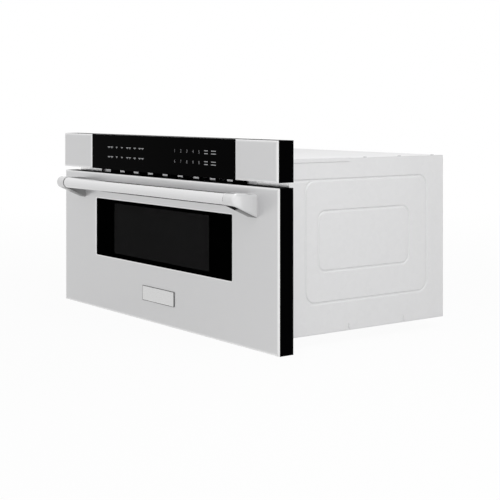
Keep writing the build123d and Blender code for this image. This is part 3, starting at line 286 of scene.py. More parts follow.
class Handling(Effect):
    """Faint smears and finger marks that change the gloss of a wiped surface."""

    title = "handling"
    takes = {"Scale": 9.0, "Cover": 0.4}
    swirl = (0.12, 0.12, 0.12)
    finer = 2.3
    bare_level = 0.72
    cover_reach = 0.3
    smear_edge = 0.2
    speck_scale = 420.0
    speck_range = (0.72, 0.78)

    def wire(self, graph: Graph, source: Any) -> dict[str, Socket]:
        """Bends one noise with another for smears, and thresholds a fine one for specks.

        Args:
            graph: The group's graph.
            source: The group's inputs by name.

        Returns:
            The group's outputs by name.
        """
        place = graph.place()
        swirls = graph.noise(place, source["Scale"], output="Color")
        bent = graph.vector("MULTIPLY_ADD", swirls, self.swirl, place)
        finer = graph.maths("MULTIPLY", source["Scale"], self.finer)
        smear = graph.noise(bent, finer, detail=4.0, rough=0.65)
        cover = graph.maths("MULTIPLY", source["Cover"], self.cover_reach)
        low = graph.maths("SUBTRACT", self.bare_level, cover)
        specks = graph.noise(place, self.speck_scale, detail=1.0)
        return {"Smear": graph.spread(smear, (low, graph.maths("ADD", low, self.smear_edge))),
                "Speck": graph.spread(specks, self.speck_range)}


class Spangle(Effect):
    """Flat crystals of a zinc coat, each with its own faint tone."""

    title = "zinc_spangle"
    takes = {"Scale": 110.0}
    warp_scale = 60.0
    warp = (0.006, 0.006, 0.006)
    crystal_share = 0.6
    drift_scale = 4.0
    grit_scale = 900.0

    def wire(self, graph: Graph, source: Any) -> dict[str, Socket]:
        """Builds the crystals from warped cells.

        Args:
            graph: The group's graph.
            source: The group's inputs by name.

        Returns:
            The group's outputs by name.
        """
        place = graph.place()
        warps = graph.noise(place, self.warp_scale, output="Color")
        bent = graph.vector("MULTIPLY_ADD", warps, self.warp, place)
        crystals = graph.add("ShaderNodeSeparateColor", {0: graph.cells(bent, source["Scale"], "Color")})
        drift = graph.noise(place, self.drift_scale)
        return {"Tone": graph.weighed(crystals.outputs[0], self.crystal_share, drift),
                "Height": graph.noise(place, self.grit_scale)}


class MouldGrain(Effect):
    """Spark-eroded grain of a moulded plastic face."""

    title = "mould_grain"
    takes = {"Scale": 1400.0}
    dimple_share = 0.6
    coarser = 0.5
    tone_scale = 12.0

    def wire(self, graph: Graph, source: Any) -> dict[str, Socket]:
        """Mixes fine cells and noise into the grain's height.

        Args:
            graph: The group's graph.
            source: The group's inputs by name.

        Returns:
            The group's outputs by name.
        """
        place = graph.place()
        dimples = graph.cells(place, source["Scale"], feature="SMOOTH_F1")
        soft = graph.noise(place, graph.maths("MULTIPLY", source["Scale"], self.coarser), detail=3.0)
        return {"Height": graph.weighed(dimples, self.dimple_share, soft),
                "Tone": graph.noise(place, self.tone_scale, detail=3.0)}


class DotScreen(Effect):
    """Even staggered round holes in a sheet that stands across Y."""

    title = "dot_screen"
    takes = {"Pitch": 0.0023, "Hole": 0.33}
    turn = math.radians(45.0)
    edge_range = (0.03, -0.03)
    rim_range = (0.0, 0.12)

    def wire(self, graph: Graph, source: Any) -> dict[str, Socket]:
        """Sets a dot in each cell of a turned square grid.

        Args:
            graph: The group's graph.
            source: The group's inputs by name.

        Returns:
            The group's outputs by name.
        """
        axes = graph.add("ShaderNodeSeparateXYZ", {0: graph.place()}).outputs
        flat = graph.add("ShaderNodeCombineXYZ", {0: axes["X"], 1: axes["Z"]}).outputs[0]
        turned = {"Vector": flat, "Angle": self.turn}
        grid = graph.add("ShaderNodeVectorRotate", turned, rotation_type="Z_AXIS").outputs[0]
        per_metre = graph.maths("DIVIDE", 1.0, source["Pitch"])
        distance = graph.cells(grid, per_metre, scatter=0.0, voronoi_dimensions="2D")
        gap = graph.maths("SUBTRACT", distance, source["Hole"])
        return {"Mask": graph.spread(gap, self.edge_range), "Rim": graph.spread(gap, self.rim_range)}


class FacingAway(Effect):
    """Finds where a surface turns away from one direction, such as the rolled edge of a sheet, for painted
    highlights and shades.
    """

    title = "facing_away"
    takes = {"Direction": TO_FRONT, "Start": 1.0, "End": 0.0}

    def wire(self, graph: Graph, source: Any) -> dict[str, Socket]:
        """Compares the surface's normal with the direction: 0 at the start and 1 at the end."""
        likeness = graph.vector("DOT_PRODUCT", graph.normal(), source["Direction"], result=1)
        return {"Mask": graph.spread(likeness, (source["Start"], source["End"]))}


BRUSHED_GRAIN, EDGE_GLINT, HANDLING = BrushedGrain(), EdgeGlint(), Handling()
SPANGLE, MOULD_GRAIN, DOT_SCREEN, FACING_AWAY = Spangle(), MouldGrain(), DotScreen(), FacingAway()


# ---------------------------------------------------------------- finishes
@dataclass(frozen=True)
class Relief:
    """How a finish's fine height bends its normal: strength, and the depth of a height of 1."""

    strength: float
    depth: float

    def bend(self, graph: Graph, height: Any, **normal: Any) -> Socket:
        """The normal bent by a height. It adds to another one that is given as Normal."""
        inputs = {"Strength": self.strength, "Distance": self.depth, "Height": height, **normal}
        return graph.add("ShaderNodeBump", inputs).outputs["Normal"]


@dataclass(frozen=True)
class PaintedTurn:
    """A painted highlight or shade: another tone that a finish takes where its surface turns away from a
    direction.
    """

    colour: Colour
    direction: Triple = TO_FRONT
    start: float = 0.9998
    end: float = 0.994
    share: float = 0.9

    def over(self, graph: Graph, tone: Any) -> Socket:
        """This tone, mixed over the one where the surface faces the direction."""
        away = graph.effect(FACING_AWAY, Direction=self.direction, Start=self.start, End=self.end)
        return graph.lay(away["Mask"], self.share, tone, opaque(self.colour))


@dataclass(frozen=True)
class Finish:
    """A named surface finish that can make its material."""

    name: str
    colour: Colour
    roughness: float = 0.4

    def material(self) -> bpy.types.Material:
        """The finish's material, made the first time it is asked for.

        Returns:
            The material.
        """
        title = f"finish_{self.name}"
        made = bpy.data.materials.get(title)
        if made is None:
            made = bpy.data.materials.new(title)
            made.diffuse_color = self.tint()
            graph = Graph.of(made)
            graph.add("ShaderNodeOutputMaterial", {"Surface": self.surface(graph)})
        return made

    def surface(self, graph: Graph) -> Socket:
        """The shader that the paint is wired into."""
        return graph.add("ShaderNodeBsdfPrincipled", self.paint(graph)).outputs[0]

    def paint(self, graph: Graph) -> dict[str, Any]:
        """Wires the finish and returns the Principled BSDF's inputs by name."""
        raise NotImplementedError

    def tint(self, factor: float = 1.0) -> tuple[float, float, float, float]:
        """The finish's colour, made lighter or darker by one factor."""
        return opaque(tuple(min(1.0, channel * factor) for channel in self.colour))

    def toned(self, graph: Graph, mask: Any, shades: Pair) -> Socket:
        """The finish's colour, by the first factor where a mask is 0 and by the second where it is 1."""
        return graph.mix(mask, *(self.tint(shade) for shade in shades))

    def dulled(self, graph: Graph, mask: Any, change: float) -> Socket:
        """The finish's roughness, changed where a mask is 1."""
        return graph.maths("MULTIPLY_ADD", mask, change, self.roughness)

    def uneven(self, graph: Graph, mask: Any, width: float, source: Pair = FULL) -> Socket:
        """The finish's roughness, spread over a width as a mask goes through its range."""
        return graph.spread(mask, source, (self.roughness - width / 2, self.roughness + width / 2))


class Grainline(Enum):
    """Which way a brushed or drawn metal's scratches run, as the stretch of their noise along each axis."""

    ALONG_X = (14.0, 1500.0, 1500.0)
    ALONG_Y = (1500.0, 14.0, 1500.0)
    ALONG_Z = (1500.0, 1500.0, 14.0)


@dataclass(frozen=True)
class Metal(Finish):
    """What the metal finishes share: how much is bare metal, their contrast, and the painted highlights and
    shades where they turn away from a direction.
    """

    metallic: float = 1.0
    contrast: float = 0.08
    unevenness: float = 0.11
    edge_width: float = 0.0012
    painted_turns: tuple[PaintedTurn, ...] = ()

    def contrasted(self, graph: Graph, mask: Any) -> Socket:
        """The finish's colour, from darker to lighter by the contrast as a mask goes from 0 to 1."""
        return self.toned(graph, mask, (1 - self.contrast, 1 + self.contrast))

    def turned(self, graph: Graph, tone: Any) -> Any:
        """Lays the painted highlights and shades over a tone.

        Args:
            graph: The material's graph.
            tone: The tone of the faces.

        Returns:
            The tone's socket.
        """
        for turning in self.painted_turns:
            tone = turning.over(graph, tone)
        return tone


@dataclass(frozen=True)
class BrushedSteel(Metal):
    """Stainless steel with a fine brushed face, painted highlights along its edges, and painted highlights
    and shades where it turns away.
    """

    grainline: Grainline = Grainline.ALONG_X
    drift_share: float = 0.3
    edge_highlight: float = 0.35
    edge_highlight_colour: Colour = grey(0.97)
    smear_dulling: float = 0.05
    relief: Relief = Relief(0.25, 0.00002)

    def paint(self, graph: Graph) -> dict[str, Any]:
        """Wires streaks, smears, the painted edge highlights, and the painted highlights and shades where the
        surface turns away.

        Args:
            graph: The material's graph.

        Returns:
            The Principled BSDF's inputs by name.
        """
        grain = graph.effect(BRUSHED_GRAIN, Stretch=self.grainline.value)
        edge = graph.effect(EDGE_GLINT, Width=self.edge_width)
        smear = graph.effect(HANDLING, Scale=7.0, Cover=0.3)["Smear"]
        streaked = self.contrasted(graph, grain["Streak"])
        drifting = graph.lay(grain["Tone"], self.drift_share, streaked, self.tint(1 - self.contrast / 2))
        # painted highlight along the edges
        bright = graph.lay(edge["Mask"], self.edge_highlight, drifting, opaque(self.edge_highlight_colour))
        rough = self.uneven(graph, grain["Streak"], self.unevenness)
        return {"Base Color": self.turned(graph, bright), "Metallic": self.metallic,
                "Roughness": graph.maths("MULTIPLY_ADD", smear, self.smear_dulling, rough),
                "Normal": self.relief.bend(graph, grain["Streak"], Normal=edge["Normal"])}


@dataclass(frozen=True)
class ZincSheet(Metal):
    """Zinc-coated sheet steel with faint crystals, dust and rubbed edges."""

    metallic: float = 0.35
    contrast: float = 0.045
    unevenness: float = 0.14
    edge_width: float = 0.0009
    spangle_scale: float = 110.0
    dust_share: float = 0.10
    dust_shade: float = 0.86
    rub_share: float = 0.35
    rub_shade: float = 1.15
    relief: Relief = Relief(0.2, 0.00003)

    def paint(self, graph: Graph) -> dict[str, Any]:
        """Wires crystals, dust, rubbed edges and the painted shades where the surface turns away.

        Args:
            graph: The material's graph.

        Returns:
            The Principled BSDF's inputs by name.
        """
        zinc = graph.effect(SPANGLE, Scale=self.spangle_scale)
        edge = graph.effect(EDGE_GLINT, Width=self.edge_width, Raggedness=0.8)
        dust = graph.effect(HANDLING, Scale=4.0, Cover=0.5)["Smear"]
        crystals = self.contrasted(graph, zinc["Tone"])
        dusty = graph.lay(dust, self.dust_share, crystals, self.tint(self.dust_shade))
        rubbed = graph.lay(edge["Mask"], self.rub_share, dusty, self.tint(self.rub_shade))
        return {"Base Color": self.turned(graph, rubbed), "Metallic": self.metallic,
                "Roughness": self.uneven(graph, zinc["Tone"], self.unevenness),
                "Normal": self.relief.bend(graph, zinc["Height"], Normal=edge["Normal"])}


@dataclass(frozen=True)
class MouldedPlastic(Finish):
    """Moulded plastic with a fine grain and a painted highlight along its edges."""

    grain_scale: float = 1400.0
    sheen_level: float = 0.35
    shades: Pair = (0.85, 1.18)
    edge_width: float = 0.0006
    edge_highlight_share: float = 0.6
    edge_highlight_lift: float = 0.03
    dust_dulling: float = 0.12
    relief: Relief = Relief(0.5, 0.00005)

    def paint(self, graph: Graph) -> dict[str, Any]:
        """Wires grain, dust and the painted highlight along the edges.

        Args:
            graph: The material's graph.

        Returns:
            The Principled BSDF's inputs by name.
        """
        grain = graph.effect(MOULD_GRAIN, Scale=self.grain_scale)
        edge = graph.effect(EDGE_GLINT, Width=self.edge_width)
        dust = graph.effect(HANDLING, Scale=12.0, Cover=0.3)["Smear"]
        shade = self.toned(graph, grain["Tone"], self.shades)
        # painted highlight along the edges
        highlighted_edge = opaque(tuple(min(1.0, channel + self.edge_highlight_lift) for channel in self.colour))
        return {"Base Color": graph.lay(edge["Mask"], self.edge_highlight_share, shade, highlighted_edge),
                "Roughness": self.dulled(graph, dust, self.dust_dulling),
                "Specular IOR Level": self.sheen_level,
                "Normal": self.relief.bend(graph, grain["Height"], Normal=edge["Normal"])}


@dataclass(frozen=True)
class DarkGlass(Finish):
    """Dark glass with a wiped, slightly smeared face."""

    alpha: float = 1.0
    reflectance: float = 0.12
    smear_share: float = 0.5
    shades: Pair = (1.0, 1.6)
    smear_dulling: float = 0.07
    speck_dulling: float = 0.05

    def paint(self, graph: Graph) -> dict[str, Any]:
        """Wires smears and specks into colour and gloss.

        Args:
            graph: The material's graph.

        Returns:
            The Principled BSDF's inputs by name.
        """
        marks = graph.effect(HANDLING, Scale=6.0, Cover=0.55)
        veil = graph.maths("MULTIPLY", marks["Smear"], self.smear_share)
        wiped = self.dulled(graph, marks["Smear"], self.smear_dulling)
        return {"Base Color": self.toned(graph, veil, self.shades),
                "Roughness": graph.maths("MULTIPLY_ADD", marks["Speck"], self.speck_dulling, wiped),
                "Specular IOR Level": self.reflectance, "Alpha": self.alpha}


@dataclass(frozen=True)
class ClearGlass(Finish):
    """Clear glass with a faint tint and wipe marks."""

    shades: Pair = (1.0, 0.96)
    smear_dulling: float = 0.05
    refraction: float = 1.48

    def paint(self, graph: Graph) -> dict[str, Any]:
        """Wires wipe marks into a clear transmitting shader.

        Args:
            graph: The material's graph.

        Returns:
            The Principled BSDF's inputs by name.
        """
        smear = graph.effect(HANDLING, Scale=10.0, Cover=0.4)["Smear"]
        return {"Base Color": self.toned(graph, smear, self.shades),
                "Roughness": self.dulled(graph, smear, self.smear_dulling),
                "Transmission Weight": 1.0, "IOR": self.refraction}


@dataclass(frozen=True)
class Enamel(Finish):
    """Baked enamel or powder coat with a faint orange-peel face."""

    speck: Colour = (0.4, 0.4, 0.39)
    speck_share: float = 0.35
    coat: float = 0.3
    coat_roughness: float = 0.15
    tone_scale: float = 5.0
    shades: Pair = (0.95, 1.04)
    edge_width: float = 0.0012
    smear_dulling: float = 0.1
    peel_scale: float = 480.0
    relief: Relief = Relief(0.25, 0.00005)

    def paint(self, graph: Graph) -> dict[str, Any]:
        """Wires specks and orange peel.

        Args:
            graph: The material's graph.

        Returns:
            The Principled BSDF's inputs by name.
        """
        marks = graph.effect(HANDLING, Scale=8.0, Cover=0.4)
        edge = graph.effect(EDGE_GLINT, Width=self.edge_width)
        place = graph.place()
        shade = self.toned(graph, graph.noise(place, self.tone_scale, detail=3.0), self.shades)
        peel = graph.noise(place, self.peel_scale)
        return {"Base Color": graph.lay(marks["Speck"], self.speck_share, shade, opaque(self.speck)),
                "Roughness": self.dulled(graph, marks["Smear"], self.smear_dulling),
                "Coat Weight": self.coat, "Coat Roughness": self.coat_roughness,
                "Normal": self.relief.bend(graph, peel, Normal=edge["Normal"])}


@dataclass(frozen=True)
class PerforatedScreen(Finish):
    """Dark sheet with even rows of small holes, or a print of such rows."""

    pitch: float = 0.0023
    hole: float = 0.33
    hole_colour: Colour = grey(0.004)
    hole_roughness: float = 0.9
    tone_scale: float = 9.0
    shades: Pair = (0.9, 1.1)
    alpha: float = 1.0
    reflectance: float = 0.5
    relief: Relief = Relief(0.6, 0.0002)

    def paint(self, graph: Graph) -> dict[str, Any]:
        """Wires the holes into colour, gloss and bump.

        Args:
            graph: The material's graph.

        Returns:
            The Principled BSDF's inputs by name.
        """
        dots = graph.effect(DOT_SCREEN, Pitch=self.pitch, Hole=self.hole)
        shade = self.toned(graph, graph.noise(graph.place(), self.tone_scale, detail=3.0), self.shades)
        return {"Base Color": graph.mix(dots["Mask"], shade, opaque(self.hole_colour)),
                "Roughness": graph.spread(dots["Mask"], FULL, (self.roughness, self.hole_roughness)),
                "Specular IOR Level": self.reflectance, "Alpha": self.alpha,
                "Normal": self.relief.bend(graph, dots["Rim"])}


@dataclass(frozen=True)
class WoundCopper(Finish):
    """Enamelled wire wound side by side, under a coat of varnish."""

    wire: float = 0.0009
    band_period: float = 0.314      # from band to band of the wave texture at a scale of 1
    wander: float = 0.6
    tone_scale: float = 90.0
    shades: Pair = (0.75, 1.2)
    gap_shade: float = 0.35
    tone_range: Pair = (0.2, 0.8)
    unevenness: float = 0.16
    metallic: float = 0.7
    coat: float = 0.5
    relief: Relief = Relief(0.8, 0.0003)

    def paint(self, graph: Graph) -> dict[str, Any]:
        """Wires the turns of wire into colour and bump.

        Args:
            graph: The material's graph.

        Returns:
            The Principled BSDF's inputs by name.
        """
        place = graph.place()
        bands = {"Vector": place, "Scale": self.band_period / self.wire, "Distortion": self.wander}
        turns = graph.add("ShaderNodeTexWave", bands, wave_type="BANDS", bands_direction="X").outputs["Fac"]
        tone = graph.noise(place, self.tone_scale, detail=3.0)
        copper = self.toned(graph, tone, self.shades)
        return {"Base Color": graph.mix(turns, self.tint(self.gap_shade), copper),
                "Roughness": self.uneven(graph, tone, self.unevenness, self.tone_range),
                "Metallic": self.metallic, "Coat Weight": self.coat,
                "Normal": self.relief.bend(graph, turns)}


@dataclass(frozen=True)
class StackedCore(Finish):
    """Thin steel laminations seen on edge, dipped in dark varnish."""

    sheet_stretch: Triple = (2200.0, 30.0, 30.0)
    shades: Pair = (0.7, 1.35)
    varnish: Colour = (0.05, 0.03, 0.015)
    varnish_cover: float = 0.6
    varnish_roughness: float = 0.25
    drip_stretch: Triple = (60.0, 60.0, 18.0)
    drip_range: Pair = (0.5, 0.7)
    gloss_range: Pair = (0.4, 0.7)
    metallic: float = 0.4
    relief: Relief = Relief(0.5, 0.0001)

    def paint(self, graph: Graph) -> dict[str, Any]:
        """Wires the stacked sheets and the varnish's drips into colour and bump.

        Args:
            graph: The material's graph.

        Returns:
            The Principled BSDF's inputs by name.
        """
        place = graph.place()
        thin = graph.noise(graph.vector("MULTIPLY", place, self.sheet_stretch), 1.0)
        drips = graph.noise(graph.vector("MULTIPLY", place, self.drip_stretch), 1.0, detail=3.0)
        coated = graph.spread(drips, self.drip_range, (0.0, self.varnish_cover))
        shade = self.toned(graph, thin, self.shades)
        return {"Base Color": graph.mix(coated, shade, opaque(self.varnish)),
                "Roughness": graph.spread(drips, self.gloss_range, (self.roughness, self.varnish_roughness)),
                "Metallic": self.metallic, "Normal": self.relief.bend(graph, thin)}


@dataclass(frozen=True)
class CircuitBoard(Finish):
    """Green solder mask over tracks, with tinned pads."""

    track: Colour = (0.10, 0.36, 0.18)
    track_grid: Triple = (0.0016, 0.0016, 0.0016)
    track_scale: float = 130.0
    track_range: Pair = (0.10, 0.06)
    pad: Colour = (0.72, 0.70, 0.62)
    pad_scale: float = 210.0
    pad_scatter: float = 0.55
    pad_range: Pair = (0.20, 0.15)
    pad_roughness: float = 0.2
    relief: Relief = Relief(0.5, 0.00006)

    def paint(self, graph: Graph) -> dict[str, Any]:
        """Wires tracks that keep to a grid, and pads.

        Args:
            graph: The material's graph.

        Returns:
            The Principled BSDF's inputs by name.
        """
        place = graph.place()
        snapped = graph.vector("SNAP", place, self.track_grid)
        to_track = graph.cells(snapped, self.track_scale, feature="DISTANCE_TO_EDGE")
        tracks = graph.spread(to_track, self.track_range)
        pads = graph.spread(graph.cells(place, self.pad_scale, scatter=self.pad_scatter), self.pad_range)
        mask = graph.mix(tracks, self.tint(), opaque(self.track))
        return {"Base Color": graph.mix(pads, mask, opaque(self.pad)), "Metallic": pads,
                "Roughness": graph.spread(pads, FULL, (self.roughness, self.pad_roughness)),
                "Normal": self.relief.bend(graph, graph.maths("ADD", tracks, pads))}


@dataclass(frozen=True)
class PrintedInk(Finish):
    """Screen-printed light ink on glass, a little uneven in cover."""

    cover_scale: float = 1800.0
    shades: Pair = (0.86, 1.0)
    thin_dulling: float = 0.1

    def paint(self, graph: Graph) -> dict[str, Any]:
        """Wires the ink's uneven cover into colour and gloss.

        Args:
            graph: The material's graph.

        Returns:
            The Principled BSDF's inputs by name.
        """
        cover = graph.spread(graph.noise(graph.place(), self.cover_scale), NOISY)
        gloss = (self.roughness + self.thin_dulling, self.roughness)
        return {"Base Color": self.toned(graph, cover, self.shades),
                "Roughness": graph.spread(cover, FULL, gloss)}


@dataclass(frozen=True)
class GlazedCeramic(Finish):
    """Glazed ceramic with faint crazing."""

    craze_scale: float = 300.0
    craze_width: float = 0.03
    craze_share: float = 0.25
    shades: Pair = (1.0, 0.6)
    gloss_scale: float = 150.0
    unevenness: float = 0.15
    coat: float = 0.6

    def paint(self, graph: Graph) -> dict[str, Any]:
        """Wires the crazing into the colour, and a slow change into the gloss.

        Args:
            graph: The material's graph.

        Returns:
            The Principled BSDF's inputs by name.
        """
        place = graph.place()
        distance = graph.cells(place, self.craze_scale, feature="DISTANCE_TO_EDGE")
        cracks = graph.spread(distance, (self.craze_width, 0.0), (0.0, self.craze_share))
        gloss = (self.roughness, self.roughness + self.unevenness)
        return {"Base Color": self.toned(graph, cracks, self.shades), "Coat Weight": self.coat,
                "Roughness": graph.spread(graph.noise(place, self.gloss_scale), NOISY, gloss)}


@dataclass(frozen=True)
class StudioFloor(Finish):
    """Pale floor that shows as white and keeps a soft shadow of the object."""

    shadow_share: float = 0.05
    shadow_reach: Pair = (0.7, 2.6)
    tone_scale: float = 2.0
    shades: Pair = (0.985, 1.0)

    def surface(self, graph: Graph) -> Socket:
        """Mixes a diffuse share for the shadow with plain white for what sees the floor.

        Args:
            graph: The material's graph.

        Returns:
            The mixed shader's socket.
        """
        mottle = self.toned(graph, graph.noise(graph.place(), self.tone_scale, detail=3.0), self.shades)
        paint = graph.add("ShaderNodeBsdfDiffuse", {"Color": mottle})
        white = graph.add("ShaderNodeEmission", {"Color": opaque(grey(1.0)), "Strength": 1.0})
        distance = graph.vector("LENGTH", graph.place(), result=1)
        plain = graph.spread(distance, self.shadow_reach, (1.0 - self.shadow_share, 1.0))
        blend = {0: graph.maths("MULTIPLY", graph.seen(), plain), 1: paint.outputs[0], 2: white.outputs[0]}
        return graph.add("ShaderNodeMixShader", blend).outputs[0]


class Palette:
    """All the finishes of the microwave drawer."""

    # Painted highlights on the steel's rolled edges, where they turn from the front.
    rolled_edge_highlight = PaintedTurn(grey(0.97), share=0.28)
    rolled_side_highlight = PaintedTurn(grey(0.97), direction=(-0.174, -0.985, 0.0), start=0.984, end=0.970, share=0.75)
    # Painted shade on the underside of the handle's bar.
    bar_underside_shade = PaintedTurn(grey(0.28), direction=UP, start=0.7, end=-0.95, share=0.31)
    # Painted shade, near black, on the undersides of the handle's brackets.
    bracket_underside_shade = PaintedTurn(grey(0.006), direction=UP, start=-0.80, end=-0.90, share=0.95)
    # Painted shade, near black, on the faces inside the exhaust duct that do not face the front.
    duct_inside_shade = PaintedTurn(grey(0.004), start=0.9, end=0.5, share=0.98)

    door_steel = BrushedSteel("door_steel", (0.69, 0.69, 0.695), 0.30, metallic=0.55, contrast=0.010,
                              unevenness=0.03, edge_width=0.0010, painted_turns=(rolled_edge_highlight, rolled_side_highlight),
                              edge_highlight=0.3, relief=Relief(0.03, 0.00002))
    handle_steel = BrushedSteel("handle_steel", (0.80, 0.80, 0.805), 0.08, metallic=0.8, contrast=0.03,
                                painted_turns=(bar_underside_shade,), edge_highlight=0.3)
    bracket_steel = BrushedSteel("bracket_steel", (0.79, 0.79, 0.795), 0.14, metallic=0.4, contrast=0.03,
                                 edge_width=0.0016, painted_turns=(bracket_underside_shade,),
                                 grainline=Grainline.ALONG_Z, edge_highlight=0.4)
    # A darker copy of the bracket steel: painted shade on the brackets' inner faces.
    bracket_painted_shade = BrushedSteel("bracket_painted_shade", grey(0.34), 0.35, edge_width=0.0004,
                                  grainline=Grainline.ALONG_Z, edge_highlight=0.05)
    badge_steel = BrushedSteel("badge_steel", grey(0.66), 0.30, contrast=0.03, edge_width=0.0008,
                               edge_highlight=0.9)
    slide_zinc = BrushedSteel("slide_zinc", (0.62, 0.63, 0.66), 0.30, contrast=0.07, edge_width=0.0008,
                              grainline=Grainline.ALONG_Y)
    hook_zinc = BrushedSteel("hook_zinc", (0.58, 0.58, 0.56), 0.34, edge_width=0.0006,
                             grainline=Grainline.ALONG_Y)
    screw_zinc = BrushedSteel("screw_zinc", (0.66, 0.66, 0.67), 0.25, contrast=0.05, edge_width=0.0004,
                              grainline=Grainline.ALONG_Z)
    plain_aluminium = BrushedSteel("plain_aluminium", (0.76, 0.77, 0.78), 0.33, edge_width=0.0006,
                                   grainline=Grainline.ALONG_Y)

    cabinet_zinc = ZincSheet("cabinet_zinc", (0.755, 0.755, 0.76), 0.50, contrast=0.022)
    plate_zinc = ZincSheet("plate_zinc", (0.90, 0.90, 0.905), 0.20, metallic=0.85, contrast=0.015)
    duct_zinc = ZincSheet("duct_zinc", (0.90, 0.90, 0.91), 0.24, metallic=0.8, spangle_scale=70.0)
    tab_zinc = ZincSheet("tab_zinc", (0.92, 0.92, 0.93), 0.32, metallic=0.85, contrast=0.015,
                         painted_turns=(duct_inside_shade,))
    motor_paint = ZincSheet("motor_paint", (0.25, 0.255, 0.27), 0.36, metallic=0.8, spangle_scale=400.0)

    seam_shade_black = MouldedPlastic("seam_shade_black", grey(0.003), 0.6, sheen_level=0.02, edge_highlight_lift=0.0)
    vent_black = MouldedPlastic("vent_black", grey(0.002), 0.6, sheen_level=0.01, edge_highlight_lift=0.01)
    frame_black = MouldedPlastic("frame_black", (0.0006, 0.0006, 0.0007), 0.45, sheen_level=0.004,
                                 edge_highlight_lift=0.006)
    choke_black = MouldedPlastic("choke_black", (0.035, 0.035, 0.038), 0.5, grain_scale=1000.0)
    part_plastic = MouldedPlastic("part_plastic", (0.10, 0.10, 0.11), 0.48)
    fan_plastic = MouldedPlastic("fan_plastic", (0.05, 0.05, 0.055), 0.38)
    gear_plastic = MouldedPlastic("gear_plastic", (0.78, 0.76, 0.70), 0.34, edge_highlight_lift=0.08)
    gland_plastic = MouldedPlastic("gland_plastic", grey(0.02), 0.55)
    cover_mica = MouldedPlastic("cover_mica", (0.62, 0.56, 0.46), 0.55, grain_scale=500.0)

    window_glass = DarkGlass("window_glass", (0.0006, 0.0006, 0.0007), 0.05, alpha=0.40, reflectance=0.003)
    control_glass = DarkGlass("control_glass", (0.0009, 0.0009, 0.001), 0.06, reflectance=0.007)
    border_black = DarkGlass("border_black", grey(0.0005), 0.4, reflectance=0.0)
    display_dark = DarkGlass("display_dark", (0.008, 0.010, 0.011), 0.25, reflectance=0.3)
    inner_glass = ClearGlass("inner_glass", (0.93, 0.95, 0.95), 0.02)
    screen_dark = PerforatedScreen("screen_dark", (0.30, 0.30, 0.305), 0.45)
    dot_print = PerforatedScreen("dot_print", (0.020, 0.020, 0.0203), 0.5, pitch=0.0012, hole=0.30,
                                 alpha=0.85, reflectance=0.003)

    oven_enamel = Enamel("oven_enamel", (0.56, 0.56, 0.55), 0.32)
    panel_enamel = Enamel("panel_enamel", grey(0.50), 0.38, coat=0.15)
    tray_glaze = Enamel("tray_glaze", (0.82, 0.81, 0.78), 0.14, speck=(0.7, 0.68, 0.64), coat=0.8)
    # Near-black rim round the badge: a painted shadow gap.
    badge_shadow_rim = Enamel("badge_shadow_rim", grey(0.02), 0.3, speck=grey(0.05))
    lamp_white = GlazedCeramic("lamp_white", (0.86, 0.85, 0.81), 0.2)
    core_varnish = StackedCore("core_varnish", (0.16, 0.15, 0.145), 0.5)
    coil_copper = WoundCopper("coil_copper", (0.60, 0.27, 0.11), 0.32)
    board_green = CircuitBoard("board_green", (0.03, 0.17, 0.08), 0.34)
    print_white = PrintedInk("print_white", (0.62, 0.63, 0.64), 0.5)
    print_grey = PrintedInk("print_grey", (0.26, 0.26, 0.27), 0.5)
    floor_white = StudioFloor("floor_white", grey(0.66))


# ---------------------------------------------------------------- meshes
class Shell:
    """Builds a mesh from rings of points that follow each other."""

    def __init__(self, smooth_below: float = 32.0) -> None:
        """Starts an empty mesh, smooth across edges below an angle in degrees."""
        self.bm = bmesh.new()
        self.limit = math.radians(smooth_below)

    def ring(self, points: Iterable[Sequence[float]]) -> list[bmesh.types.BMVert]:
        """Adds one ring of vertices and returns them."""
        return [self.bm.verts.new(point) for point in points]

    def loft(self, rings: Iterable[Iterable[Sequence[float]]], hollow: bool = False,
             second: int = 0) -> Shell:
        """Skins closed rings in order.

        Args:
            rings: Rings with equal numbers of points.
            hollow: Whether the last ring is skinned to the first, instead of filling both.
            second: How many of the first stretches get the second finish, with the first ring's fill.

        Returns:
            This shell.
        """
        rows = [self.ring(points) for points in rings]
        pairs = list(zip(rows, rows[1:]))
        if hollow:
            pairs.append((rows[-1], rows[0]))
        for stretch, (near, far) in enumerate(pairs):
            for index, (a, b) in enumerate(zip(near, far)):
                after = (index + 1) % len(near)
                face = self.bm.faces.new((a, near[after], far[after], b))
                face.material_index = int(stretch < second)
        if not hollow:
            self.bm.faces.new(list(reversed(rows[0]))).material_index = int(second > 0)
            self.bm.faces.new(rows[-1])
        return self

    def build(self, name: str, *finishes: Finish) -> bpy.types.Object:
        """Closes the mesh.

        Args:
            name: The piece's name.
            finishes: The finish it gets, and a second one where it has two.

        Returns:
            The new object, linked to the scene.
        """
        bmesh.ops.recalc_face_normals(self.bm, faces=self.bm.faces)
        for face in self.bm.faces:
            face.smooth = True
        for edge in self.bm.edges:
            edge.smooth = len(edge.link_faces) == 2 and edge.calc_face_angle(0.0) < self.limit
        mesh = bpy.data.meshes.new(name)
        self.bm.to_mesh(mesh)
        self.bm.free()
        for finish in finishes:
            mesh.materials.append(finish.material())
        return linked(bpy.data.objects.new(name, mesh))


def linked(thing: bpy.types.Object) -> bpy.types.Object:
    """Links a new object to the scene and returns it."""
    bpy.context.scene.collection.objects.link(thing)
    return thing


def quarter_round() -> list[Pair]:
    """A unit quarter round: how far each point lies before the face, and is drawn in from the flank."""
    turns = [math.radians(90.0 * step / ROUND_STEPS) for step in range(ROUND_STEPS + 1)]
    return [(1 - math.sin(turn), 1 - math.cos(turn)) for turn in turns]


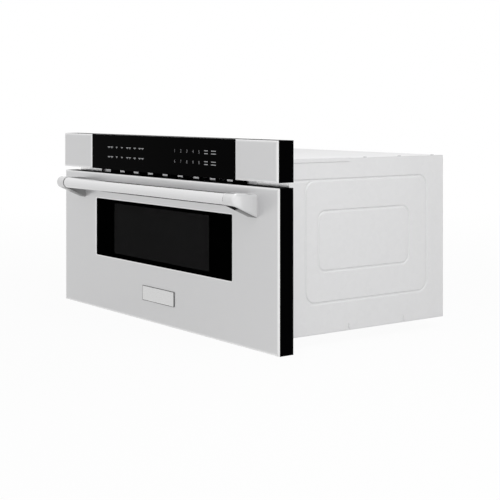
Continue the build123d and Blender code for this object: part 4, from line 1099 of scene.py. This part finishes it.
def rounded_rectangle(half_width: float, half_height: float, corner: float) -> list[Pair]:
    """Points round a rectangle with rounded corners.

    Args:
        half_width: Half its width.
        half_height: Half its height.
        corner: Corner radius.

    Returns:
        The points, counter-clockwise from the right edge's top corner.
    """
    points = []
    for quarter, (side, level) in enumerate(((1, 1), (-1, 1), (-1, -1), (1, -1))):
        centre = (side * (half_width - corner), level * (half_height - corner))
        for step in range(ROUND_STEPS + 1):
            angle = math.radians(90.0 * (quarter + step / ROUND_STEPS))
            points.append((centre[0] + corner * math.cos(angle), centre[1] + corner * math.sin(angle)))
    return points


@dataclass(frozen=True)
class Pane:
    """An upright rectangle across the front, in millimetres."""

    left: float
    right: float
    low: float
    high: float
    corner: float = 3.0

    def ring(self, inset: float, depth: float) -> Ring:
        """The pane's outline.

        Args:
            inset: How far it is drawn in on every side.
            depth: Its place along Y.

        Returns:
            The outline's points in metres.
        """
        middle = ((self.left + self.right) / 2, (self.low + self.high) / 2)
        half = ((self.right - self.left) / 2 - inset, (self.high - self.low) / 2 - inset)
        points = rounded_rectangle(*half, max(self.corner - inset, SHARPEST))
        return [Vector((middle[0] + u, depth, middle[1] + v)) * MM for u, v in points]

    def rolled(self, front: float, rear: float, roll: Pair, inwards: int = 1) -> list[Ring]:
        """Rings that turn from the pane's side into its front face along a flat quarter ellipse.

        Args:
            front: The front face's place along Y.
            rear: The rear face's place along Y.
            roll: How far the roll reaches over the front face, and how far it falls back.
            inwards: 1 for an outer edge, -1 for the edge of an opening.

        Returns:
            The rings, from the rear to the front.
        """
        width, drop = roll
        return [self.ring(0.0, rear), *(self.ring(inwards * width * drawn, front + drop * before)
                                        for before, drawn in quarter_round())]


# ---------------------------------------------------------------- the work of every sub-assembly
Dressing = tuple[tuple[Finish, tuple[str, ...]], ...]


@dataclass
class Assembly:
    """A sub-assembly: it dresses its CAD nodes and makes its own finer pieces."""

    nodes: dict[str, bpy.types.Object]
    body: str = "cabinet"
    dressed: Dressing = ()

    def dress(self) -> None:
        """Gives each of the sub-assembly's CAD nodes its finish."""
        for finish, names in self.dressed:
            for name in names:
                materials = self.nodes[name].data.materials
                materials.clear()
                materials.append(finish.material())
                log.info("finish %s on %s", finish.name, name)

    def settle(self, piece: bpy.types.Object, slot: str, *replaced: str) -> None:
        """Puts a finished piece on its body.

        Args:
            piece: The piece, in place.
            slot: The record's material slot; not used.
            replaced: CAD nodes that it stands for.
        """
        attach(piece, self.body)
        if replaced:
            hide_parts(*replaced)
        log.info("piece %s on %s", piece.name, self.body)

    def make(self) -> None:
        """Makes the sub-assembly's own pieces. Some have none."""

    def build(self) -> None:
        """Dresses the nodes and makes the pieces."""
        self.dress()
        self.make()


@dataclass
class Door(Assembly):
    """Steel skin, window and bare badge of the drawer's front."""

    body: str = "drawer"
    front: float = -234.4
    skin_rear: float = -232.9
    outline: Pane = Pane(-380.0, 380.0, -22.5, 269.8, 0.6)
    window: Pane = Pane(-244.0, 244.0, 91.9, 214.7)
    clear_view: Pane = Pane(-170.5, 171.0, 101.6, 207.6)
    roll: Pair = (7.0, 0.9)
    window_roll: Pair = (4.0, 0.6)
    print_gap: float = 0.05
    print_sheet: float = 0.06
    badge: Pane = Pane(-57.0, 57.0, 18.5, 48.5, 1.6)
    badge_front: float = -236.0
    # sections of the badge from its rear to its field: how far in from the outline and behind the face
    badge_section: tuple[Pair, ...] = ((0.9, 1.5), (0.9, 0.35), (1.05, 0.1), (1.3, 0.0), (1.7, 0.0),
                                       (1.9, 0.12), (2.05, 0.45))
    badge_shadow_rim_section: tuple[Pair, ...] = ((0.0, 1.6), (0.0, 0.35), (0.15, 0.1), (0.88, 0.1), (0.88, 1.6))
    dressed: Dressing = (
        (Palette.frame_black, ("door_frame",)), (Palette.window_glass, ("door_glass",)),
        (Palette.panel_enamel, ("door_inner_panel",)), (Palette.choke_black, ("choke_cover",)),
        (Palette.screen_dark, ("window_screen",)), (Palette.inner_glass, ("inner_glass",)))

    def make(self) -> None:
        """Makes the rolled skin, the prints on the window and the badge."""
        self.settle(self.skin(), "steel_skin", "door_skin")
        self.settle(self.border(), "door_glass_tint")
        self.settle(self.dots(), "door_glass_tint")
        self.settle(self.plate(), "badge_metal", "badge_plate")
        self.settle(self.plate_edge(), "black_frame")

    def skin(self) -> bpy.types.Object:
        """The steel sheet with rolled outer edges and a rolled window opening.

        Returns:
            The piece.
        """
        outside = self.outline.rolled(self.front, self.skin_rear, self.roll)
        opening = self.window.rolled(self.front, self.skin_rear, self.window_roll, inwards=-1)
        sheet = Shell().loft([*outside, *reversed(opening)], hollow=True)
        return sheet.build("door_skin_sheet", Palette.door_steel)

    def print_depths(self) -> Pair:
        """The rear and the front of the prints on the window, along Y."""
        rear = self.skin_rear - self.print_gap / 2
        return rear, rear - self.print_sheet

    def border(self) -> bpy.types.Object:
        """The black print on the glass, round the clear view.

        Returns:
            The piece.
        """
        rear, front = self.print_depths()
        rings = [self.window.ring(self.print_gap, rear), self.window.ring(self.print_gap, front),
                 self.clear_view.ring(0, front), self.clear_view.ring(0, rear)]
        return Shell().loft(rings, hollow=True).build("window_border", Palette.border_black)

    def dots(self) -> bpy.types.Object:
        """The print of fine dots inside the border, which veils the screen."""
        rings = [self.clear_view.ring(self.print_gap, depth) for depth in self.print_depths()]
        return Shell().loft(rings).build("window_dots", Palette.dot_print)

    def badge_rings(self, section: tuple[Pair, ...]) -> list[Ring]:
        """Rings of the badge along one of its sections."""
        return [self.badge.ring(inset, self.badge_front + behind) for inset, behind in section]

    def plate(self) -> bpy.types.Object:
        """The bare badge: a rounded rim round a lower field."""
        return Shell().loft(self.badge_rings(self.badge_section)).build("badge_field", Palette.badge_steel)

    def plate_edge(self) -> bpy.types.Object:
        """The dark rim that the badge's steel face sits in: a painted shadow gap round the badge."""
        edge = Shell().loft(self.badge_rings(self.badge_shadow_rim_section), hollow=True)
        return edge.build("badge_rim_edge", Palette.badge_shadow_rim)


@dataclass
class Handle(Assembly):
    """Round bar between two moulded end brackets."""

    body: str = "drawer"
    door_face: float = -234.4
    axis_y: float = -278.9
    axis_z: float = 247.3
    half: float = 290.0
    radius: float = 11.6
    wall: float = 2.0
    seam: float = 0.7
    seam_sunk: float = 0.5
    end_round: float = 2.2
    nose: float = 12.4
    width: float = 30.0
    foot_low: float = 33.3
    foot_high: float = 9.7
    outer_round: float = 4.0
    inner_round: float = 2.2
    spigot: float = 14.0
    spigot_radius: float = 9.5
    spigot_chamfer: float = 1.0
    nose_steps: int = 40
    flank_steps: int = 6
    bar_points: int = 72
    seam_points: int = 48
    spigot_points: int = 32
    shaded_stretches: int = 4       # how many stretches next to the bar have the darker copy of the steel, a painted shade
    smooth_below: float = 40.0
    dressed: Dressing = ((Palette.screw_zinc, ("handle_screws",)),)

    def make(self) -> None:
        """Makes the bar, both brackets and the black rings in the seams between them."""
        self.settle(self.bar(), "handle_steel", "handle_bar")
        self.settle(self.brackets(), "handle_steel", "handle_brackets")
        self.settle(self.seams(), "choke_plastic")

    def turned(self, profile: Sequence[Pair], segments: int) -> list[Ring]:
        """Rings round the bar's axis.

        Args:
            profile: Places along X and radii.
            segments: Points in each ring.

        Returns:
            One ring for each point of the profile, in metres.
        """
        turns = [math.tau * index / segments for index in range(segments)]
        return [[Vector((along * MM, (self.axis_y + radius * math.cos(turn)) * MM,
                         (self.axis_z + radius * math.sin(turn)) * MM)) for turn in turns]
                for along, radius in profile]

    def bar(self) -> bpy.types.Object:
        """The tube with rounded ends, short of the brackets by the seams.

        Returns:
            The piece.
        """
        end = self.half - self.seam
        right = [(end - self.end_round * before, self.radius - self.end_round * drawn)
                 for before, drawn in quarter_round()]
        right.append((end, self.radius - self.wall))
        profile = [(-along, radius) for along, radius in reversed(right)] + right
        tube = Shell().loft(self.turned(profile, self.bar_points), hollow=True)
        return tube.build("handle_tube", Palette.handle_steel)

    def seams(self) -> bpy.types.Object:
        """The black ring between each end of the bar and its bracket; its black also paints the shade of the
        crevice there.

        Returns:
            The piece.
        """
        shell = Shell()
        outer, inner = self.radius - self.seam_sunk, self.spigot_radius
        for side in (-1, 1):
            section = ((self.seam, inner), (self.seam, outer), (0.0, outer), (0.0, inner))
            profile = [(side * (self.half - before), radius) for before, radius in section]
            shell.loft(self.turned(profile, self.seam_points), hollow=True)
        return shell.build("handle_seam_rings", Palette.seam_shade_black)

    def outline(self, inset: float) -> list[Pair]:
        """The bracket's outline seen from the side.

        Args:
            inset: How far it is drawn in from its full size.

        Returns:
            Points along Y and Z in millimetres, round the nose and back along the door.
        """
        radius = self.nose - inset
        low, high = self.axis_z - self.foot_low + inset, self.axis_z + self.foot_high - inset

        def tangent(level: float, side: int) -> float:
            """The angle at which the flank from one level on the door touches the nose."""
            rise, reach = level - self.axis_z, self.door_face - self.axis_y
            return math.atan2(rise, reach) + side * math.acos(radius / math.hypot(rise, reach))

        def run(a: Pair, b: Pair) -> list[Pair]:
            """Points from a towards b, without b."""
            shares = [step / self.flank_steps for step in range(self.flank_steps)]
            return [(a[0] + (b[0] - a[0]) * share, a[1] + (b[1] - a[1]) * share) for share in shares]

        start, stop = tangent(high, 1), tangent(low, -1) + math.tau
        angles = [start + (stop - start) * step / self.nose_steps for step in range(self.nose_steps + 1)]
        nose = [(self.axis_y + radius * math.cos(a), self.axis_z + radius * math.sin(a)) for a in angles]
        top, bottom = (self.door_face, high), (self.door_face, low)
        return [*run(top, nose[0]), *nose, *run(nose[-1], bottom)[1:], *run(bottom, top)]

    def brackets(self) -> bpy.types.Object:
        """Both end brackets, each a lofted cheek with rounded edges and a spigot for the bar.

        Returns:
            The piece.
        """
        shell = Shell(self.smooth_below)
        end, tip = self.half + self.width, self.half - self.spigot
        section = [(self.half + self.inner_round * before, self.inner_round * drawn)
                   for before, drawn in reversed(quarter_round())]
        section += [(end - self.outer_round * before, self.outer_round * drawn)
                    for before, drawn in quarter_round()]
        for side in (-1, 1):
            rings = [[Vector((side * along, y, z)) * MM for y, z in self.outline(drawn)]
                     for along, drawn in section]
            # The stretches next to the bar get the darker copy of the steel, a painted shade on the bracket's
            # inner face.
            shell.loft(rings, second=self.shaded_stretches)
            profile = [(side * tip, self.spigot_radius - self.spigot_chamfer),
                       (side * (tip + self.spigot_chamfer), self.spigot_radius),
                       (side * self.half, self.spigot_radius)]
            shell.loft(self.turned(profile, self.spigot_points))
        return shell.build("handle_ends", Palette.bracket_steel, Palette.bracket_painted_shade)


@dataclass
class ControlPanel(Assembly):
    """Black glass with its touch marks between two rolled steel ends."""

    front: float = -237.0
    rear: float = -235.5
    glass_half: float = 257.0
    half: float = 380.0
    end_low: float = 278.9
    high: float = 353.1
    end_corner: float = 0.6
    roll: Pair = (7.0, 0.9)
    print_lift: float = 0.05
    print_sheet: float = 0.04
    font_size: float = 8.68
    weld: float = 0.001
    bar_height: float = 1.3
    bar_gap: float = 1.6
    bar_corner: float = 0.7
    line_shift: float = 0.975       # each of two lines of bars, from the row's middle
    lower_cut: float = 0.36         # share by which the lower line's bars are shorter at each end
    word_shifts: Pair = (3.0, -2.4)     # two single bars, from the row's middle
    rows: Pair = (326.0, 305.5)
    left_spans: tuple[tuple[float, float, int], ...] = (
        (-191.0, -169.5, 2), (-158.5, -151.5, 1), (-137.5, -130.5, 1), (-117.0, -99.0, 2),
        (-89.0, -79.0, 1), (-70.0, -50.0, 2))
    digit_x: tuple[float, ...] = (62.0, 82.8, 103.4, 124.2, 143.8)
    right_spans: tuple[Pair, ...] = ((160.5, 172.5), (182.5, 198.0))
    dressed: Dressing = (
        (Palette.frame_black, ("control_panel_housing",)), (Palette.control_glass, ("control_glass",)),
        (Palette.board_green, ("control_board",)), (Palette.display_dark, ("display_module",)))

    def make(self) -> None:
        """Makes the steel ends and the touch marks."""
        self.settle(self.ends(), "steel_skin", "control_panel_trims")
        self.settle(self.marks(), "control_glass_black")
        self.settle(self.digits(), "control_glass_black")

    def ends(self) -> bpy.types.Object:
        """The steel end sheets, each rolled back on all four sides.

        Returns:
            The piece.
        """
        shell = Shell()
        for left, right in ((-self.half, -self.glass_half), (self.glass_half, self.half)):
            sheet = Pane(left, right, self.end_low, self.high, self.end_corner)
            shell.loft(sheet.rolled(self.front, self.rear, self.roll))
        return shell.build("control_ends", Palette.door_steel)

    def bar(self, left: float, right: float, level: float) -> Pane:
        """The outline of one bar mark."""
        return Pane(left, right, level - self.bar_height / 2, level + self.bar_height / 2, self.bar_corner)

    def bars(self) -> list[Pane]:
        """The outlines of all bar marks.

        Returns:
            The panes, row by row from the left.
        """
        found = []
        for row in self.rows:
            for left, right, count in self.left_spans:
                length = (right - left - self.bar_gap * (count - 1)) / count
                for shift, cut in ((self.line_shift, 0.0), (-self.line_shift, self.lower_cut * length)):
                    starts = [left + index * (length + self.bar_gap) for index in range(count)]
                    found += [self.bar(start + cut, start + length - cut, row + shift) for start in starts]
            for left, right in self.right_spans:
                found += [self.bar(left, right, row + shift) for shift in self.word_shifts]
        return found

    def marks(self) -> bpy.types.Object:
        """The bar marks, as thin raised print with rounded ends.

        Returns:
            The piece.
        """
        shell = Shell()
        face = self.front - self.print_lift
        for bar in self.bars():
            shell.loft([bar.ring(0, face + self.print_sheet), bar.ring(0, face)])
        return shell.build("touch_bars", Palette.print_white)

    def digit(self, number: str, x: float, z: float) -> bpy.types.Object:
        """One upright plain number.

        Args:
            number: The number.
            x: Its middle across.
            z: Its middle's height.

        Returns:
            The text object.
        """
        curve = bpy.data.curves.new("digit_curve", type="FONT")
        curve.body = number
        curve.size = self.font_size * MM
        curve.align_x = "CENTER"
        curve.align_y = "CENTER"
        curve.extrude = self.print_sheet / 2 * MM
        letter = linked(bpy.data.objects.new("digit_object", curve))
        place = Vector((x, self.front - self.print_lift, z)) * MM
        letter.matrix_world = Matrix.Translation(place) @ Matrix.Rotation(math.radians(90.0), 4, "X")
        return letter

    def digits(self) -> bpy.types.Object:
        """The plain numbers 1 to 0 of the touch fields, as one thin mesh.

        Returns:
            The piece.
        """
        letters = [self.digit(number, x, row) for row, numbers in zip(self.rows, ("12345", "67890"))
                   for x, number in zip(self.digit_x, numbers)]
        bpy.context.view_layer.update()
        shell = Shell()
        for letter in letters:
            mesh = bpy.data.meshes.new_from_object(letter)
            mesh.transform(letter.matrix_world)
            shell.bm.from_mesh(mesh)
            bpy.data.meshes.remove(mesh)
            bpy.data.objects.remove(letter)
        bmesh.ops.remove_doubles(shell.bm, verts=shell.bm.verts, dist=self.weld * MM)
        return shell.build("touch_digits", Palette.print_grey)


@dataclass
class Cabinet(Assembly):
    """Zinc-coated shell around the oven, with its screws."""

    rear: float = 202.0
    top: float = 317.3
    screw_side: float = 349.0
    rear_screw_z: tuple[float, ...] = (20.0, 112.1, 204.2, 296.3)
    top_screw_y: tuple[float, ...] = (-2.0, 88.0, 178.0)
    head_radius: float = 3.6
    head_height: float = 1.6
    head_points: int = 24
    # the head's outline, as shares of its radius and height
    dome: tuple[Pair, ...] = ((1.0, 0.0), (1.0, 0.35), (0.93, 0.7), (0.75, 0.92))
    shank_radius: float = 1.6
    shank_length: float = 7.0
    recess_arm: tuple[Pair, ...] = ((1.9, -0.225), (1.9, 0.225), (1.368, 0.27), (0.95, 0.315),
                                    (0.54, 0.405), (0.405, 0.54))
    recess_floor: float = 0.75
    recess_taper: float = 0.55
    dressed: Dressing = (
        (Palette.cabinet_zinc, ("base_pan", "side_panel_right", "side_panel_left", "rear_panel", "top_cover",
                                "top_doubler")),
        (Palette.plate_zinc, ("front_plate",)), (Palette.vent_black, ("vent_grille",)),
        (Palette.tab_zinc, ("exhaust_duct",)), (Palette.gland_plastic, ("cord_gland",)))

    def make(self) -> None:
        """Makes the screws."""
        self.settle(self.screws(), "screw_steel", "cabinet_screws")

    def screws(self) -> bpy.types.Object:
        """All the cabinet's screws, with domed heads and crossed slots.

        Returns:
            The piece.
        """
        shell = Shell()
        for side in (-1, 1):
            for z in self.rear_screw_z:
                self.screw(shell, Vector((side * self.screw_side, self.rear, z)), Vector((0, 1, 0)))
        for side in (-1, 1):
            for y in self.top_screw_y:
                self.screw(shell, Vector((side * self.screw_side, y, self.top)), Vector(UP))
        return shell.build("cabinet_screw_set", Palette.screw_zinc)

    def circle(self, radius: float) -> list[Pair]:
        """Points round a screw's axis."""
        turns = [math.tau * (index + 0.5) / self.head_points for index in range(self.head_points)]
        return [(radius * math.cos(turn), radius * math.sin(turn)) for turn in turns]

    def cross(self, taper: float = 1.0) -> list[Pair]:
        """The crossed recess's outline.

        Args:
            taper: Its size as a share of that at the head's top.

        Returns:
            Its points, as many as in a circle.
        """
        turns = [math.radians(angle) for angle in (0, 90, 180, 270)]
        return [((u * math.cos(turn) - v * math.sin(turn)) * taper,
                 (u * math.sin(turn) + v * math.cos(turn)) * taper)
                for turn in turns for u, v in self.recess_arm]

    def screw(self, shell: Shell, seat: Vector, out: Vector) -> None:
        """One screw whose head has a crossed recess.

        Args:
            shell: The mesh that it is added to.
            seat: The middle of the head's underside in millimetres.
            out: The way that the head faces.
        """
        turn = out.to_track_quat("Z", "Y").to_matrix()
        levels = [(self.circle(self.shank_radius), -self.shank_length), (self.circle(self.shank_radius), 0.0)]
        levels += [(self.circle(self.head_radius * wide), self.head_height * high)
                   for wide, high in self.dome]
        levels += [(self.cross(), self.head_height), (self.cross(self.recess_taper), self.recess_floor)]
        shell.loft([[(seat + turn @ Vector((u, v, height))) * MM for u, v in points]
                    for points, height in levels])


@dataclass
class Oven(Assembly):
    """Cavity, waveguide, magnetron, stirrer and lamps."""

    dressed: Dressing = (
        (Palette.oven_enamel, ("cavity_wrap", "cavity_floor", "cavity_back")),
        (Palette.duct_zinc, ("cavity_supports", "waveguide")),
        (Palette.plain_aluminium, ("magnetron", "stirrer_fan")),
        (Palette.motor_paint, ("magnetron_yoke", "stirrer_motor")),
        (Palette.cover_mica, ("stirrer_cover",)), (Palette.lamp_white, ("oven_lamp",)))


@dataclass
class Supply(Assembly):
    """High-voltage supply, boards and cooling fan."""

    dressed: Dressing = (
        (Palette.core_varnish, ("transformer_core",)), (Palette.coil_copper, ("transformer_coil",)),
        (Palette.plain_aluminium, ("hv_capacitor",)),
        (Palette.board_green, ("power_board", "noise_filter_board")),
        (Palette.fan_plastic, ("fan_housing", "fan_wheel")), (Palette.motor_paint, ("fan_motor",)))


@dataclass
class Drawer(Assembly):
    """Tub and tray, slides, drive and interlock."""

    dressed: Dressing = (
        (Palette.oven_enamel, ("tub",)), (Palette.tray_glaze, ("tray_plate",)),
        (Palette.duct_zinc, ("slide_brackets", "motor_bracket")),
        (Palette.slide_zinc, ("slide_outer_members", "slide_middle_left", "slide_middle_right",
                              "slide_inner_members")),
        (Palette.motor_paint, ("drive_motor",)), (Palette.gear_plastic, ("drive_pinion", "drive_rack")),
        (Palette.hook_zinc, ("latch_hooks",)),
        (Palette.part_plastic, ("switch_holders", "interlock_switches")))


# ---------------------------------------------------------------- studio
@dataclass(frozen=True)
class Softbox:
    """A square area lamp, mirrored in polished metal or not. Places and its side are in metres."""

    name: str
    place: Triple
    target: Triple
    side: float
    watts: float
    mirrored: bool = False

    def build(self) -> None:
        """Adds the lamp, aimed at its target."""
        data = bpy.data.lights.new(self.name, type="AREA")
        data.size = self.side
        data.energy = self.watts
        light = linked(bpy.data.objects.new(self.name, data))
        light.visible_glossy = self.mirrored
        light.location = self.place
        aim = Vector(self.target) - Vector(self.place)
        light.rotation_euler = aim.to_track_quat("-Z", "Y").to_euler()


@dataclass
class Studio:
    """Pale floor, white surround, softboxes and the camera of the photograph. Places are in metres."""

    floor_level: float = -0.0225
    floor_half: float = 60.0
    ambient: float = 0.55
    camera_place: Triple = (1.9432, -1.5211, 0.4096)
    camera_yaw: float = 54.882
    sensor: float = 36.0
    lens: float = 83.77
    shift: Pair = (0.1181, -0.2839)
    sight: float = 200.0
    lamps: tuple[Softbox, ...] = (
        Softbox("key", (1.2, -0.26, 1.15), (0.3, -0.1, 0.2), 0.8, 9.9),
        Softbox("front", (-1.2, -3.0, 1.4), (0.0, -0.2, 0.15), 2.0, 8.0),
        Softbox("top", (0.0, 0.2, 3.0), (0.0, 0.0, 0.2), 1.4, 6.9, mirrored=True),
        Softbox("rear", (-1.5, 2.6, 1.8), (0.0, 0.1, 0.15), 2.0, 12.0))

    def build(self) -> None:
        """Makes the floor, the world, the lamps and the camera."""
        self.floor()
        self.world()
        for lamp in self.lamps:
            lamp.build()
        self.camera()

    def floor(self) -> None:
        """Lays a wide floor under the door's lower edge."""
        shell = Shell()
        signs = ((-1, -1), (1, -1), (1, 1), (-1, 1))
        shell.bm.faces.new(shell.ring((x * self.floor_half, y * self.floor_half, self.floor_level)
                                      for x, y in signs))
        plane = shell.build("studio_floor", Palette.floor_white)

    def world(self) -> None:
        """Gives white to what sees the surround, and a plain level of light to the rest."""
        world = bpy.data.worlds.new("studio_world")
        graph = Graph.of(world)
        strength = graph.spread(graph.seen(), FULL, (self.ambient, 1.0))
        sky = graph.add("ShaderNodeBackground", {"Color": opaque(grey(1.0)), "Strength": strength})
        graph.add("ShaderNodeOutputWorld", {"Surface": sky.outputs[0]})
        bpy.context.scene.world = world

    def camera(self) -> None:
        """Sets the photograph's camera: level, turned to the left, with its frame shifted."""
        data = bpy.data.cameras.new("studio_camera")
        data.sensor_width = self.sensor
        data.lens = self.lens
        data.shift_x, data.shift_y = self.shift
        data.clip_end = self.sight
        camera = linked(bpy.data.objects.new("studio_camera", data))
        camera.location = self.camera_place
        camera.rotation_euler = (math.radians(90.0), 0.0, math.radians(self.camera_yaw))
        bpy.context.scene.camera = camera
        bpy.context.scene.view_settings.view_transform = "Standard"


def clear_scene() -> None:
    """Takes out whatever the program starts with."""
    for thing in list(bpy.data.objects):
        bpy.data.objects.remove(thing)


def main() -> None:
    """Loads the frame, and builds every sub-assembly and the studio."""
    logging.basicConfig(level=logging.INFO, format="%(message)s")
    clear_scene()
    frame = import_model()
    makers: tuple[Callable[..., Assembly], ...] = (Cabinet, Oven, Supply, Drawer, Door, Handle, ControlPanel)
    for maker in makers:
        log.info("building %s", maker.__name__)
        maker(frame["nodes"]).build()
    Studio().build()


if __name__ == "__main__":
    main()
